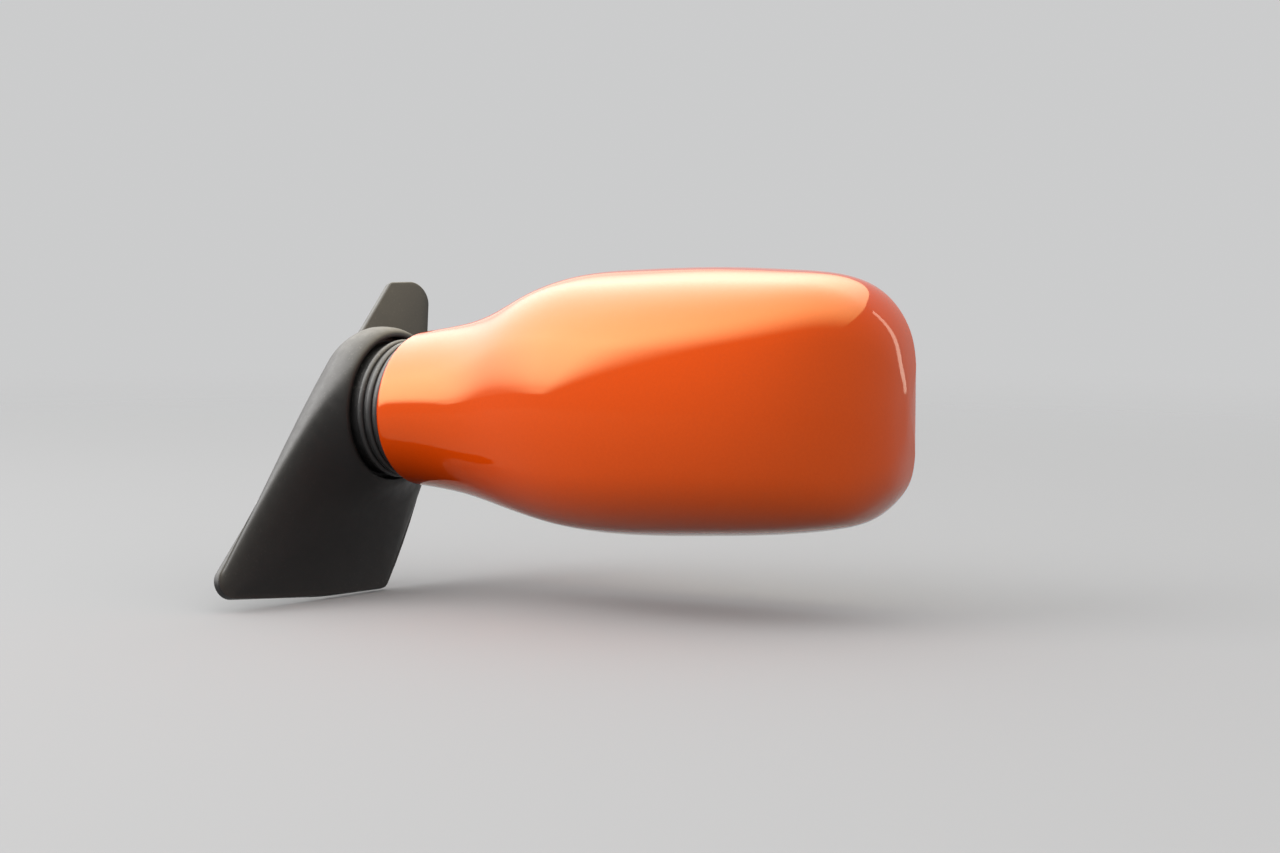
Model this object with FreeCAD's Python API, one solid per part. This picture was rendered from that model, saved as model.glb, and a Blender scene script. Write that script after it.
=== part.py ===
import FreeCAD, Part
import math
import os

os.makedirs("parts", exist_ok=True)

Vector = FreeCAD.Vector

# Left-hand door mirror. Row frame, millimetres: +X outboard, -Y forward, +Z up.
# The origin is the middle of the foot's mounting face, on the outside of the door.

# Driving dimensions of the door and the arm
DOOR_LEAN = 20.0            # the door's skin leans inboard by this angle
ARM_SWEEP = 15.5            # the arm points this much to the rear of straight outboard
COLLAR_CENTRE = (23.7, 24.0, 33.8)
NECK_GAP = 14.0             # from the collar's face to the neck's edge
BIG = 200.0                 # longer than any piece, for cutters

# Driving dimensions of the base
PLATE_THICKNESS = 3.5
GASKET_THICKNESS = 1.6
GASKET_INSET = 3.0
COLLAR_RADIUS = 37.0
COLLAR_BORE = 35.3
COLLAR_STEP = 5.0
COLLAR_LIP_ROUND = 0.8
SOCKET_RADIUS = 29.6
SOCKET_DEPTH = 13.0
STUD_RADIUS = 3.0
STUD_ROOT_RADIUS = 4.5      # moulded into the plate
STUD_HOLE_RADIUS = 5.2      # through the gasket
STUD_CIRCLE = 44.0
STUD_COUNT = 3
STUD_PHASE = 73.0           # first stud's turn from the rearward axis, degrees
STUD_LENGTH = 18.0

# Driving dimensions of the mirror head
WALL = 2.8
HEAD_LENGTH = 222.0
RIM_Y = 36.0                # plane of the rear face, behind the arm's axis
RIM_ROUND = 2.2
SEAM_ANGLE = 15.0           # span of each crown arc in a section

# Fold pivot, behind the arm's axis so that the neck rocks on its rear edge
FOLD_Y = 23.5
FOLD_PIN_RADIUS = 2.0
FOLD_LUG_RADIUS = 4.0
FOLD_CLEARANCE = 0.05
FOLD_LUG_HALF = 4.0
FOLD_LUG_GAP = 0.3
FOLD_LUG_THICKNESS = 4.0
FORK_SEAT_THICKNESS = 4.0
FORK_ARM_WIDTH = 8.5
FORK_ARM_REAR = 1.5         # the arms end this far behind the pin, clear of the folded neck

# Mirror glass and its adjuster
GLASS_CENTRE_X = 139.3
GLASS_CENTRE_Z = 6.6
GLASS_FACE_Y = 24.0
GLASS_THICKNESS = 2.0
GLASS_CURVE = 1400.0
GLASS_EDGE_GAP = 6.0
GLASS_FIT = 0.1
BALL_Y = 13.0
BALL_RADIUS = 5.5
BALL_CLEARANCE = 0.1


def frame_placement(origin, x_axis, y_axis, z_axis):
    rotation = FreeCAD.Rotation(x_axis, y_axis, z_axis, "XYZ")
    return FreeCAD.Placement(origin, rotation)


lean = math.radians(DOOR_LEAN)
sweep = math.radians(ARM_SWEEP)
ARM_AXIS = Vector(math.cos(sweep), math.sin(sweep), 0)
ARM_BACK = Vector(-math.sin(sweep), math.cos(sweep), 0)
ALONG = Vector(1, 0, 0)
BACK = Vector(0, 1, 0)
UP = Vector(0, 0, 1)
COLLAR = Vector(*COLLAR_CENTRE)
NECK = COLLAR + ARM_AXIS * NECK_GAP

# Door frame: first axis to the rear, second up the door's slope, third out of the door.
DOOR = frame_placement(Vector(0, 0, 0), BACK,
                       Vector(-math.sin(lean), 0, math.cos(lean)),
                       Vector(math.cos(lean), 0, math.sin(lean)))
# Arm frame: first axis out along the neck, second to the rear, third up.
ARM = frame_placement(NECK, ARM_AXIS, ARM_BACK, UP)


def placed(shape, placement):
    moved = shape.copy()
    moved.Placement = placement.multiply(moved.Placement)
    return moved


def save(name, shape, placement=None):
    solid = shape if placement is None else placed(shape, placement)
    solid.exportStep("parts/" + name + ".step")
    print(name, len(solid.Solids), "solid", round(solid.Volume / 1000, 1), "cm3", solid.isValid())


def rounded_outline(corners, level=0.0):
    """Closed wire through (x, y, radius) corners, each rounded by a tangent arc."""
    count = len(corners)
    stations = []
    for i in range(count):
        x, y, radius = corners[i]
        here = Vector(x, y, level)
        before = Vector(corners[i - 1][0], corners[i - 1][1], level)
        after = Vector(corners[(i + 1) % count][0], corners[(i + 1) % count][1], level)
        to_before = (before - here).normalize()
        to_after = (after - here).normalize()
        half = to_before.getAngle(to_after) / 2
        reach = radius / math.tan(half)
        bisector = (to_before + to_after).normalize()
        middle = here + bisector * (radius / math.sin(half) - radius)
        stations.append((here + to_before * reach, middle, here + to_after * reach))
    edges = []
    for i in range(count):
        start, middle, end = stations[i]
        edges.append(Part.Arc(start, middle, end).toShape())
        edges.append(Part.LineSegment(end, stations[(i + 1) % count][0]).toShape())
    return Part.Wire(edges)


def prism(wire, direction):
    return Part.Face(wire).extrude(direction)


def cylinder(radius, start, axis, length):
    return Part.makeCylinder(radius, length, start, axis)


# Sketches in the arm's x and z are drawn flat and stood up, so that level becomes y.
STAND_UP = FreeCAD.Placement(Vector(0, 0, 0), FreeCAD.Rotation(ALONG, 90))


def standing_prism(corners, offset, low_y, high_y):
    """Prism on an (x, z, radius) outline, moved out by offset, from low_y to high_y."""
    wire = rounded_outline(corners)
    if offset:
        wire = wire.makeOffset2D(offset)
    standing = placed(prism(wire, UP * (high_y - low_y)), STAND_UP)
    standing.translate(BACK * high_y)
    return standing


# The head's sections, square to the arm's axis, in the arm frame.
# x, front y, back y, top z, bottom z, y of top and bottom, z of front and back,
# front corner radius, back corner radius
HEAD_SECTIONS = [
    (0.0, -33.5, 33.5, 33.9, -33.5, 0.0, 0.2, 33.5, 33.5),
    (14.0, -34.0, 34.2, 36.4, -34.8, 0.5, 0.8, 34.0, 33.5),
    (30.0, -35.0, 36.5, 39.9, -37.3, 2.0, 1.4, 34.0, 31.0),
    (46.0, -37.0, 43.0, 46.6, -41.7, 6.0, 2.6, 34.5, 29.0),
    (62.0, -40.4, 52.0, 55.2, -46.2, 11.0, 4.5, 35.0, 28.0),
    (78.0, -43.8, 58.0, 60.4, -49.6, 15.0, 5.5, 36.0, 27.0),
    (100.0, -46.8, 61.0, 62.7, -51.4, 18.0, 6.0, 37.0, 26.0),
    (140.0, -46.5, 62.0, 64.1, -50.2, 20.0, 7.0, 38.0, 26.0),
    (172.0, -40.0, 62.0, 63.3, -47.9, 21.0, 7.5, 36.0, 26.0),
    (194.0, -28.5, 62.0, 61.0, -45.0, 23.0, 8.0, 32.0, 25.0),
    (206.0, -16.5, 61.0, 55.5, -41.2, 25.0, 7.5, 26.0, 24.0),
    (214.0, -4.5, 60.0, 47.0, -34.0, 27.0, 7.0, 20.0, 20.0),
    (219.5, 9.0, 58.0, 35.0, -24.5, 29.0, 6.0, 14.0, 14.0),
    (222.0, 20.0, 56.0, 21.0, -11.0, 31.0, 5.0, 8.0, 8.0),
]
TIP_INSET_POWER = 6         # the wall is measured along the arm only close to the tip


def quarter(top, side, centre, radius):
    """Points of a quarter of a section: crown arc, corner arc and side arc.

    top is the crown's extreme point and side the side's, as (y, z); centre is (y of top, z of side).
    The three arcs are tangent, so their radii come from two linear equations.
    """
    turn = math.radians(SEAM_ANGLE)
    s = math.sin(turn)
    c = math.cos(turn)
    width = abs(side[0] - centre[0])
    height = abs(top[1] - centre[1])
    across = width - radius * (c - s)
    upright = height - radius * (c - s)
    scale = s * s - (1 - c) * (1 - c)
    crown = (s * across - (1 - c) * upright) / scale
    flank = (s * upright - (1 - c) * across) / scale
    sign_y = 1 if side[0] > centre[0] else -1
    sign_z = 1 if top[1] > centre[1] else -1

    def on_arc(cu, cv, arc_radius, angle):
        u = cu + arc_radius * math.sin(angle)
        v = cv + arc_radius * math.cos(angle)
        return (centre[0] + sign_y * u, centre[1] + sign_z * v)

    corner_u = (crown - radius) * s
    corner_v = height - crown + (crown - radius) * c
    right = math.pi / 2
    return [
        on_arc(0, height - crown, crown, 0),
        on_arc(0, height - crown, crown, turn / 2),
        on_arc(0, height - crown, crown, turn),
        on_arc(corner_u, corner_v, radius, right / 2),
        on_arc(corner_u, corner_v, radius, right - turn),
        on_arc(width - flank, 0, flank, right - turn / 2),
        on_arc(width - flank, 0, flank, right),
    ]


def head_section(row, inset):
    x, front, back, top, bottom, mid_y, mid_z, front_corner, back_corner = row
    front += inset
    back -= inset
    top -= inset
    bottom += inset
    x -= inset * (x / HEAD_LENGTH) ** TIP_INSET_POWER
    centre = (mid_y, mid_z)
    quarters = [
        quarter((mid_y, top), (front, mid_z), centre, front_corner - inset),
        quarter((mid_y, bottom), (front, mid_z), centre, front_corner - inset)[::-1],
        quarter((mid_y, bottom), (back, mid_z), centre, back_corner - inset),
        quarter((mid_y, top), (back, mid_z), centre, back_corner - inset)[::-1],
    ]
    edges = []
    for points in quarters:
        ring = [Vector(x, y, z) for y, z in points]
        for i in (0, 2, 4):
            edges.append(Part.Arc(ring[i], ring[i + 1], ring[i + 2]).toShape())
    return Part.Wire(edges)


def head_body(inset):
    """The head's solid form moved in by inset, cut flat at its rear face."""
    wires = [head_section(row, inset) for row in HEAD_SECTIONS]
    if inset:
        opening = wires[0].copy()
        opening.translate(ALONG * -inset)
        wires.insert(0, opening)
    body = Part.makeLoft(wires, True, False)
    rear = RIM_Y - inset
    keep = Part.makeBox(2 * BIG, BIG, 2 * BIG, Vector(-BIG / 2, rear - BIG, -BIG))
    return body.common(keep)


# The mouth in the rear face, as (x, z, corner radius) in the arm frame
MOUTH = [
    (64.5, -44.0, 24.0),
    (214.0, -40.5, 25.0),
    (214.0, 57.0, 29.0),
    (64.5, 54.5, 27.0),
]
BOSS_PLACES = [(104.0, 36.0), (176.0, 38.0), (104.0, -26.0), (176.0, -24.0)]
BOSS_RADIUS = 4.0
BOSS_HOLE_RADIUS = 1.6
BOSS_HOLE_DEPTH = 12.0
FRAME_Y = -3.5
FRAME_THICKNESS = 3.0


def rim_edges(shape):
    found = []
    for edge in shape.Edges:
        span = edge.LastParameter - edge.FirstParameter
        points = [edge.valueAt(edge.FirstParameter + span * t) for t in (0.0, 0.5, 1.0)]
        if all(abs(p.y - RIM_Y) < 0.001 for p in points):
            found.append(edge)
    return found


def housing_shell():
    """Open moulded shell with a rounded rim, its mouth, and four screw bosses inside."""
    outer = head_body(0.0)
    outer = outer.makeFillet(RIM_ROUND, rim_edges(outer))
    shell = outer.cut(head_body(WALL))
    shell = shell.cut(standing_prism(MOUTH, 0.0, RIM_Y - 3 * WALL, RIM_Y + WALL))
    for x, z in BOSS_PLACES:
        boss = cylinder(BOSS_RADIUS, Vector(x, FRAME_Y - BIG, z), BACK, BIG)
        hole = cylinder(BOSS_HOLE_RADIUS, Vector(x, FRAME_Y - BOSS_HOLE_DEPTH, z), BACK, BOSS_HOLE_DEPTH)
        shell = shell.fuse(boss.common(outer)).cut(hole)
    return shell


SCREW_HEAD_RADIUS = 3.4
SCREW_HEAD_HEIGHT = 2.2
SCREW_RADIUS = 1.5


def frame_screws():
    screws = []
    for x, z in BOSS_PLACES:
        seat = FRAME_Y + FRAME_THICKNESS
        shank_start = FRAME_Y - BOSS_HOLE_DEPTH + 1
        head = cylinder(SCREW_HEAD_RADIUS, Vector(x, seat, z), BACK, SCREW_HEAD_HEIGHT)
        shank = cylinder(SCREW_RADIUS, Vector(x, shank_start, z), BACK, seat - shank_start)
        screws.append(head.fuse(shank))
    return Part.makeCompound(screws)


BEZEL_WALL = 2.0
BEZEL_LOW_Y = 24.0
BEZEL_HIGH_Y = 34.6
BEZEL_FIT = 0.15
BEZEL_FLANGE = 2.0
BEZEL_FLANGE_THICKNESS = 2.4
BEZEL_SHELL_GAP = 0.15


def mouth_bezel():
    """Sleeve inside the mouth, with a flange that lies behind the shell's rear wall."""
    flange_high = RIM_Y - WALL - BEZEL_SHELL_GAP
    flange = standing_prism(MOUTH, BEZEL_FLANGE, flange_high - BEZEL_FLANGE_THICKNESS, flange_high)
    flange = flange.common(head_body(WALL + BEZEL_SHELL_GAP))
    tube = standing_prism(MOUTH, -BEZEL_FIT, BEZEL_LOW_Y, BEZEL_HIGH_Y)
    hole = standing_prism(MOUTH, -BEZEL_FIT - BEZEL_WALL, BEZEL_LOW_Y - 1, BEZEL_HIGH_Y + 1)
    return tube.fuse(flange).cut(hole)


HOLDER_OFFSET = -(BEZEL_FIT + BEZEL_WALL + GLASS_EDGE_GAP)
HOLDER_LIP = 1.4            # width of the lip round the glass
HOLDER_LIP_DROP = 0.4       # the lip stays this much under the glass's face
HOLDER_WEB_Y = 18.9
HOLDER_BACK_Y = 16.6
HOLDER_RIB = 1.6
HOLDER_RIB_X = (-44.0, -22.0, 22.0, 44.0)
HOLDER_RIB_Z = (-18.0, 18.0)
HUB_RADIUS = 8.0
HUB_LOW_Y = 14.6
GLASS_OFFSET = HOLDER_OFFSET - HOLDER_LIP
CURVE_CENTRE = Vector(GLASS_CENTRE_X, GLASS_FACE_Y - GLASS_CURVE, GLASS_CENTRE_Z)
BALL_CENTRE = Vector(GLASS_CENTRE_X, BALL_Y, GLASS_CENTRE_Z)


def curved_below(shape, depth):
    """Keep what lies under the glass's curved face, moved in by depth."""
    return shape.common(Part.makeSphere(GLASS_CURVE - depth, CURVE_CENTRE))


def mirror_glass():
    blank = standing_prism(MOUTH, GLASS_OFFSET, HOLDER_WEB_Y, GLASS_FACE_Y + 1)
    return curved_below(blank, 0.0).cut(Part.makeSphere(GLASS_CURVE - GLASS_THICKNESS, CURVE_CENTRE))


def glass_holder():
    """Curved web under the glass with a lip round it, ribs behind it and a hub on the ball."""
    outline = standing_prism(MOUTH, HOLDER_OFFSET, HOLDER_BACK_Y, GLASS_FACE_Y + 1)
    pocket = standing_prism(MOUTH, GLASS_OFFSET + GLASS_FIT, HOLDER_BACK_Y - 1, GLASS_FACE_Y + 2)
    holder = curved_below(outline.cut(pocket), HOLDER_LIP_DROP)
    web = standing_prism(MOUTH, HOLDER_OFFSET, HOLDER_WEB_Y, GLASS_FACE_Y + 1)
    holder = holder.fuse(curved_below(web, GLASS_THICKNESS + GLASS_FIT))
    depth = HOLDER_WEB_Y - HOLDER_BACK_Y
    for offset in HOLDER_RIB_X:
        corner = Vector(GLASS_CENTRE_X + offset - HOLDER_RIB / 2, HOLDER_BACK_Y, -BIG)
        holder = holder.fuse(Part.makeBox(HOLDER_RIB, depth, 2 * BIG, corner).common(outline))
    for offset in HOLDER_RIB_Z:
        corner = Vector(-BIG, HOLDER_BACK_Y, GLASS_CENTRE_Z + offset - HOLDER_RIB / 2)
        holder = holder.fuse(Part.makeBox(3 * BIG, depth, HOLDER_RIB, corner).common(outline))
    hub_start = Vector(GLASS_CENTRE_X, HUB_LOW_Y, GLASS_CENTRE_Z)
    holder = holder.fuse(cylinder(HUB_RADIUS, hub_start, BACK, HOLDER_WEB_Y - HUB_LOW_Y))
    return holder.cut(Part.makeSphere(BALL_RADIUS + BALL_CLEARANCE, BALL_CENTRE))


ADJUSTER = [
    (GLASS_CENTRE_X - 22, GLASS_CENTRE_Z - 18, 8.0),
    (GLASS_CENTRE_X + 22, GLASS_CENTRE_Z - 18, 8.0),
    (GLASS_CENTRE_X + 22, GLASS_CENTRE_Z + 18, 8.0),
    (GLASS_CENTRE_X - 22, GLASS_CENTRE_Z + 18, 8.0),
]
ADJUSTER_LOW_Y = -16.0
ADJUSTER_HIGH_Y = 6.0
ADJUSTER_POST_Y = 12.3
ADJUSTER_POST_FOOT = 12.0
ADJUSTER_POST_RADIUS = 7.0
ADJUSTER_FIT = 0.15


def adjuster_housing():
    box = standing_prism(ADJUSTER, 0.0, ADJUSTER_LOW_Y, ADJUSTER_HIGH_Y)
    foot = Vector(GLASS_CENTRE_X, ADJUSTER_HIGH_Y, GLASS_CENTRE_Z)
    post = Part.makeCone(ADJUSTER_POST_FOOT, ADJUSTER_POST_RADIUS,
                         ADJUSTER_POST_Y - ADJUSTER_HIGH_Y, foot, BACK)
    return box.fuse(post).cut(Part.makeSphere(BALL_RADIUS + BALL_CLEARANCE, BALL_CENTRE))


PLUG_X = 9.0
PLUG_THICKNESS = 4.0
PLUG_FIT = 0.25
SPINE_END_X = 110.0
SPINE_HALF_HEIGHT = 13.0
SPINE_LOW_Y = -17.0
SPINE_RIB = 3.0
FRAME_OUTLINE = [
    (96.0, -34.0, 8.0),
    (184.0, -32.0, 8.0),
    (184.0, 46.0, 8.0),
    (96.0, 44.0, 8.0),
]
FRAME_HOLE_RADIUS = 1.8
FRAME_WINDOWS = [(107.0, 5.0, 7.0), (172.5, 7.0, 6.0)]


def support_frame():
    """Neck plug with the fold eye, a ribbed spine, and the plate that carries the adjuster."""
    head_room = head_body(WALL + PLUG_FIT)
    frame = cylinder(BIG, Vector(PLUG_X, 0, 0), ALONG, PLUG_THICKNESS).common(head_room)
    frame = frame.fuse(standing_prism(FRAME_OUTLINE, 0.0, FRAME_Y, FRAME_Y + FRAME_THICKNESS))
    spine_start = PLUG_X + 1
    spine_length = SPINE_END_X - spine_start
    frame = frame.fuse(Part.makeBox(spine_length, FRAME_THICKNESS, 2 * SPINE_HALF_HEIGHT,
                                    Vector(spine_start, FRAME_Y, -SPINE_HALF_HEIGHT)))
    for z in (-SPINE_HALF_HEIGHT, SPINE_HALF_HEIGHT - SPINE_RIB):
        frame = frame.fuse(Part.makeBox(spine_length, FRAME_Y - SPINE_LOW_Y, SPINE_RIB,
                                        Vector(spine_start, SPINE_LOW_Y, z)))
    eye = cylinder(FOLD_LUG_RADIUS, Vector(0, FOLD_Y, -FOLD_LUG_HALF), UP, 2 * FOLD_LUG_HALF)
    arm = Part.makeBox(spine_start, 2 * FOLD_LUG_RADIUS, 2 * FOLD_LUG_HALF,
                       Vector(0, FOLD_Y - FOLD_LUG_RADIUS, -FOLD_LUG_HALF))
    frame = frame.fuse(eye).fuse(arm)
    frame = frame.cut(cylinder(FOLD_PIN_RADIUS + FOLD_CLEARANCE, Vector(0, FOLD_Y, -BIG), UP, 2 * BIG))
    for x, z in BOSS_PLACES:
        frame = frame.cut(cylinder(FRAME_HOLE_RADIUS, Vector(x, FRAME_Y - 1, z), BACK, BIG))
    for x, z, radius in FRAME_WINDOWS:
        frame = frame.cut(cylinder(radius, Vector(x, FRAME_Y - 1, z), BACK, BIG))
    return frame.cut(standing_prism(ADJUSTER, ADJUSTER_FIT, FRAME_Y - BIG / 2, FRAME_Y + BIG / 2))


def fold_fork():
    """Seat on the socket's floor with the two lugs that hold the fold pin."""
    floor_x = -NECK_GAP - SOCKET_DEPTH
    fork = cylinder(SOCKET_RADIUS - FOLD_LUG_GAP, Vector(floor_x, 0, 0), ALONG, FORK_SEAT_THICKNESS)
    low = FOLD_LUG_HALF + FOLD_LUG_GAP
    for base_z in (low, -low - FOLD_LUG_THICKNESS):
        corner = Vector(floor_x, FOLD_Y + FORK_ARM_REAR - FORK_ARM_WIDTH, base_z)
        fork = fork.fuse(Part.makeBox(-floor_x, FORK_ARM_WIDTH, FOLD_LUG_THICKNESS, corner))
        fork = fork.fuse(cylinder(FOLD_LUG_RADIUS, Vector(0, FOLD_Y, base_z), UP, FOLD_LUG_THICKNESS))
    return fork.cut(cylinder(FOLD_PIN_RADIUS, Vector(0, FOLD_Y, -BIG), UP, 2 * BIG))


def fold_pin():
    half = FOLD_LUG_HALF + FOLD_LUG_GAP + FOLD_LUG_THICKNESS
    return cylinder(FOLD_PIN_RADIUS, Vector(0, FOLD_Y, -half), UP, 2 * half)


# Bellows profile: x of each crest and its outer radius, from the collar to the neck
BELLOWS_CRESTS = [(-10.5, 32.4), (-5.85, 32.4), (-1.9, 31.6)]
BELLOWS_GROOVE = 30.3
BELLOWS_INNER = 29.3
BELLOWS_FLANGE = 34.9
BELLOWS_FLANGE_THICKNESS = 2.0
BELLOWS_START = -NECK_GAP - COLLAR_STEP
BELLOWS_END = -0.35
CREST_HALF = 1.35


def bellows():
    """Ribbed tube turned round the arm's axis, with a flange on the collar's inner step."""
    flange_end = BELLOWS_START + BELLOWS_FLANGE_THICKNESS
    corners = [(BELLOWS_START, BELLOWS_INNER), (BELLOWS_START, BELLOWS_FLANGE),
               (flange_end, BELLOWS_FLANGE), (flange_end, BELLOWS_GROOVE)]
    edges = []
    here = Vector(corners[0][0], 0, corners[0][1])
    for x, radius in corners[1:]:
        there = Vector(x, 0, radius)
        edges.append(Part.LineSegment(here, there).toShape())
        here = there
    for x, radius in BELLOWS_CRESTS:
        left = Vector(x - CREST_HALF, 0, BELLOWS_GROOVE)
        right = Vector(x + CREST_HALF, 0, BELLOWS_GROOVE)
        edges.append(Part.LineSegment(here, left).toShape())
        edges.append(Part.Arc(left, Vector(x, 0, radius), right).toShape())
        here = right
    for x, radius in [(BELLOWS_END, BELLOWS_GROOVE), (BELLOWS_END, BELLOWS_INNER), corners[0]]:
        there = Vector(x, 0, radius)
        edges.append(Part.LineSegment(here, there).toShape())
        here = there
    return Part.Face(Part.Wire(edges)).revolve(Vector(0, 0, 0), ALONG, 360)


# Outline of the sail plate in the door frame, as (rearward, up the slope, corner radius)
SAIL_OUTLINE = [
    (-79.5, -45.3, 7.0),
    (-15.0, -51.5, 150.0),
    (20.5, -52.0, 3.0),
    (57.0, -7.0, 50.0),
    (94.5, 92.6, 9.0),
    (69.0, 92.6, 4.0),
]
PLATE_TOP = GASKET_THICKNESS + PLATE_THICKNESS


def stud_places():
    ring = STUD_CIRCLE / 2
    turns = [math.radians(STUD_PHASE + 360 * i / STUD_COUNT) for i in range(STUD_COUNT)]
    return [Vector(ring * math.cos(t), ring * math.sin(t), 0) for t in turns]


def with_stud_holes(shape, radius):
    for place in stud_places():
        shape = shape.cut(cylinder(radius, place, UP, PLATE_TOP))
    return shape


def sail_plate():
    plate = prism(rounded_outline(SAIL_OUTLINE, GASKET_THICKNESS), UP * PLATE_THICKNESS)
    return with_stud_holes(plate, STUD_ROOT_RADIUS)


def foot_gasket():
    outline = rounded_outline(SAIL_OUTLINE).makeOffset2D(-GASKET_INSET)
    return with_stud_holes(prism(outline, UP * GASKET_THICKNESS), STUD_HOLE_RADIUS)


def mounting_studs():
    studs = []
    for place in stud_places():
        shank = cylinder(STUD_RADIUS, place - UP * STUD_LENGTH, UP, STUD_LENGTH + GASKET_THICKNESS)
        root = cylinder(STUD_ROOT_RADIUS, place + UP * GASKET_THICKNESS, UP, PLATE_THICKNESS)
        studs.append(shank.fuse(root))
    return Part.makeCompound(studs)


# The pedestal's foot outline in the door frame, as corner circles about FOOT_HUB:
# (rearward, up the slope, radius, swelling half way to the collar)
# for front bottom, rear bottom, rear middle, rear top and front top
FOOT_HUB = (22.0, 22.0)
FOOT_CORNERS = [
    (-63.0, -40.0, 6.0, 0.5),
    (18.2, -46.8, 4.0, 0.5),
    (39.5, 6.1, 20.0, 2.0),
    (42.0, 28.0, 16.0, 4.5),
    (24.9, 33.6, 12.0, 6.5),
]
SIDE_SPAN = math.radians(4.0)
PEDESTAL_STEPS = 5


def side_angles(share):
    """Outward direction of each side that joins a corner circle to the next."""
    angles = []
    for (x0, y0, r0, s0), (x1, y1, r1, s1) in zip(FOOT_CORNERS, FOOT_CORNERS[1:] + FOOT_CORNERS[:1]):
        span = math.hypot(x1 - x0, y1 - y0)
        heading = math.atan2(y1 - y0, x1 - x0)
        shrink = r0 - r1 + 4 * (s0 - s1) * share
        angles.append(heading - math.acos(shrink * math.cos(SIDE_SPAN) / span))
    return angles


def on_circle(x, y, radius, angle):
    return Vector(x + radius * math.cos(angle), y + radius * math.sin(angle), 0)


def morphed_section(share):
    """Foot outline at share 0, the collar's circle at share 1, each corner swollen in between."""
    hub_x, hub_y = FOOT_HUB
    rest = 1 - share
    corners = [((x - hub_x) * rest, (y - hub_y) * rest,
                radius * rest + COLLAR_RADIUS * share + 4 * swell * share * rest)
               for x, y, radius, swell in FOOT_CORNERS]
    angles = side_angles(share)
    edges = []
    count = len(corners)
    for i in range(count):
        x0, y0, r0 = corners[i]
        x1, y1, r1 = corners[(i + 1) % count]
        angle = angles[i]
        swing = (angles[(i + 1) % count] - angle) % (2 * math.pi)
        start = on_circle(x0, y0, r0, angle - SIDE_SPAN)
        end = on_circle(x1, y1, r1, angle + SIDE_SPAN)
        radius = start.distanceToPoint(end) / (2 * math.sin(SIDE_SPAN))
        centre_x = start.x - radius * math.cos(angle - SIDE_SPAN)
        centre_y = start.y - radius * math.sin(angle - SIDE_SPAN)
        middle = on_circle(centre_x, centre_y, radius, angle)
        edges.append(Part.Arc(start, middle, end).toShape())
        turned = on_circle(x1, y1, r1, angle + swing / 2)
        last = on_circle(x1, y1, r1, angle + swing - SIDE_SPAN)
        edges.append(Part.Arc(end, turned, last).toShape())
    return Part.Wire(edges)


def section_frame(share, point):
    """Frame of a section: the door's at share 0, the collar's at share 1."""
    yaw = sweep * share
    tilt = lean * (1 - share)
    out = Vector(math.cos(yaw) * math.cos(tilt), math.sin(yaw) * math.cos(tilt), math.sin(tilt))
    back = Vector(-math.sin(yaw), math.cos(yaw), 0)
    return frame_placement(point, back, out.cross(back), out)


def collar_lip():
    """Disc with a rounded edge that ends the collar."""
    start = -NECK_GAP - COLLAR_LIP_ROUND
    flat = COLLAR_RADIUS - COLLAR_LIP_ROUND
    bulge = COLLAR_LIP_ROUND * math.sqrt(0.5)
    hub = Vector(start, 0, 0)
    rim = Vector(start, 0, COLLAR_RADIUS)
    shoulder = Vector(start + bulge, 0, flat + bulge)
    edge = Vector(-NECK_GAP, 0, flat)
    face_hub = Vector(-NECK_GAP, 0, 0)
    profile = Part.Wire([
        Part.LineSegment(hub, rim).toShape(),
        Part.Arc(rim, shoulder, edge).toShape(),
        Part.LineSegment(edge, face_hub).toShape(),
        Part.LineSegment(face_hub, hub).toShape(),
    ])
    return Part.Face(profile).revolve(Vector(0, 0, 0), ALONG, 360)


def pedestal():
    """Foot outline turned and morphed into the collar, with a stepped socket for the neck."""
    foot = DOOR.multVec(Vector(FOOT_HUB[0], FOOT_HUB[1], PLATE_TOP))
    head = COLLAR - ARM_AXIS * COLLAR_LIP_ROUND
    wires = []
    for step in range(PEDESTAL_STEPS):
        share = step / (PEDESTAL_STEPS - 1)
        point = foot * (1 - share) + head * share
        wires.append(placed(morphed_section(share), section_frame(share, point)))
    body = Part.makeLoft(wires, True, False).fuse(placed(collar_lip(), ARM))
    for radius, depth in ((COLLAR_BORE, COLLAR_STEP), (SOCKET_RADIUS, SOCKET_DEPTH)):
        bore = cylinder(radius, Vector(-NECK_GAP - depth, 0, 0), ALONG, depth + BIG)
        body = body.cut(placed(bore, ARM))
    return body


save("sail_plate", sail_plate(), DOOR)
save("foot_gasket", foot_gasket(), DOOR)
save("mounting_studs", mounting_studs(), DOOR)
save("pedestal", pedestal())
save("fold_fork", fold_fork(), ARM)
save("fold_pin", fold_pin(), ARM)
save("bellows", bellows(), ARM)
save("housing_shell", housing_shell(), ARM)
save("frame_screws", frame_screws(), ARM)
save("support_frame", support_frame(), ARM)
save("mouth_bezel", mouth_bezel(), ARM)
save("adjuster_housing", adjuster_housing(), ARM)
save("pivot_ball", Part.makeSphere(BALL_RADIUS, BALL_CENTRE), ARM)
save("glass_holder", glass_holder(), ARM)
save("mirror_glass", mirror_glass(), ARM)
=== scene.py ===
# %% [markdown]
# # A car door mirror
# A painted head is carried on a round arm by a black moulded foot. The foot has a leaning
# mounting face, a ribbed rubber bellows closes the gap at the fold pivot, and a curved
# mirror glass tilts in the open back of the head. This notebook dresses a fixed frame of
# CAD solids: some solids only get a finish, others are replaced by a finer mesh of the
# same shape. Pieces are drawn in millimetres and turned into metres once, when they are
# settled. The camera, the floor and the lights are placed in metres.

# %% Load the frame
import bpy
import bmesh
import math
import numpy as np
from mathutils import Matrix, Vector


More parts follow.
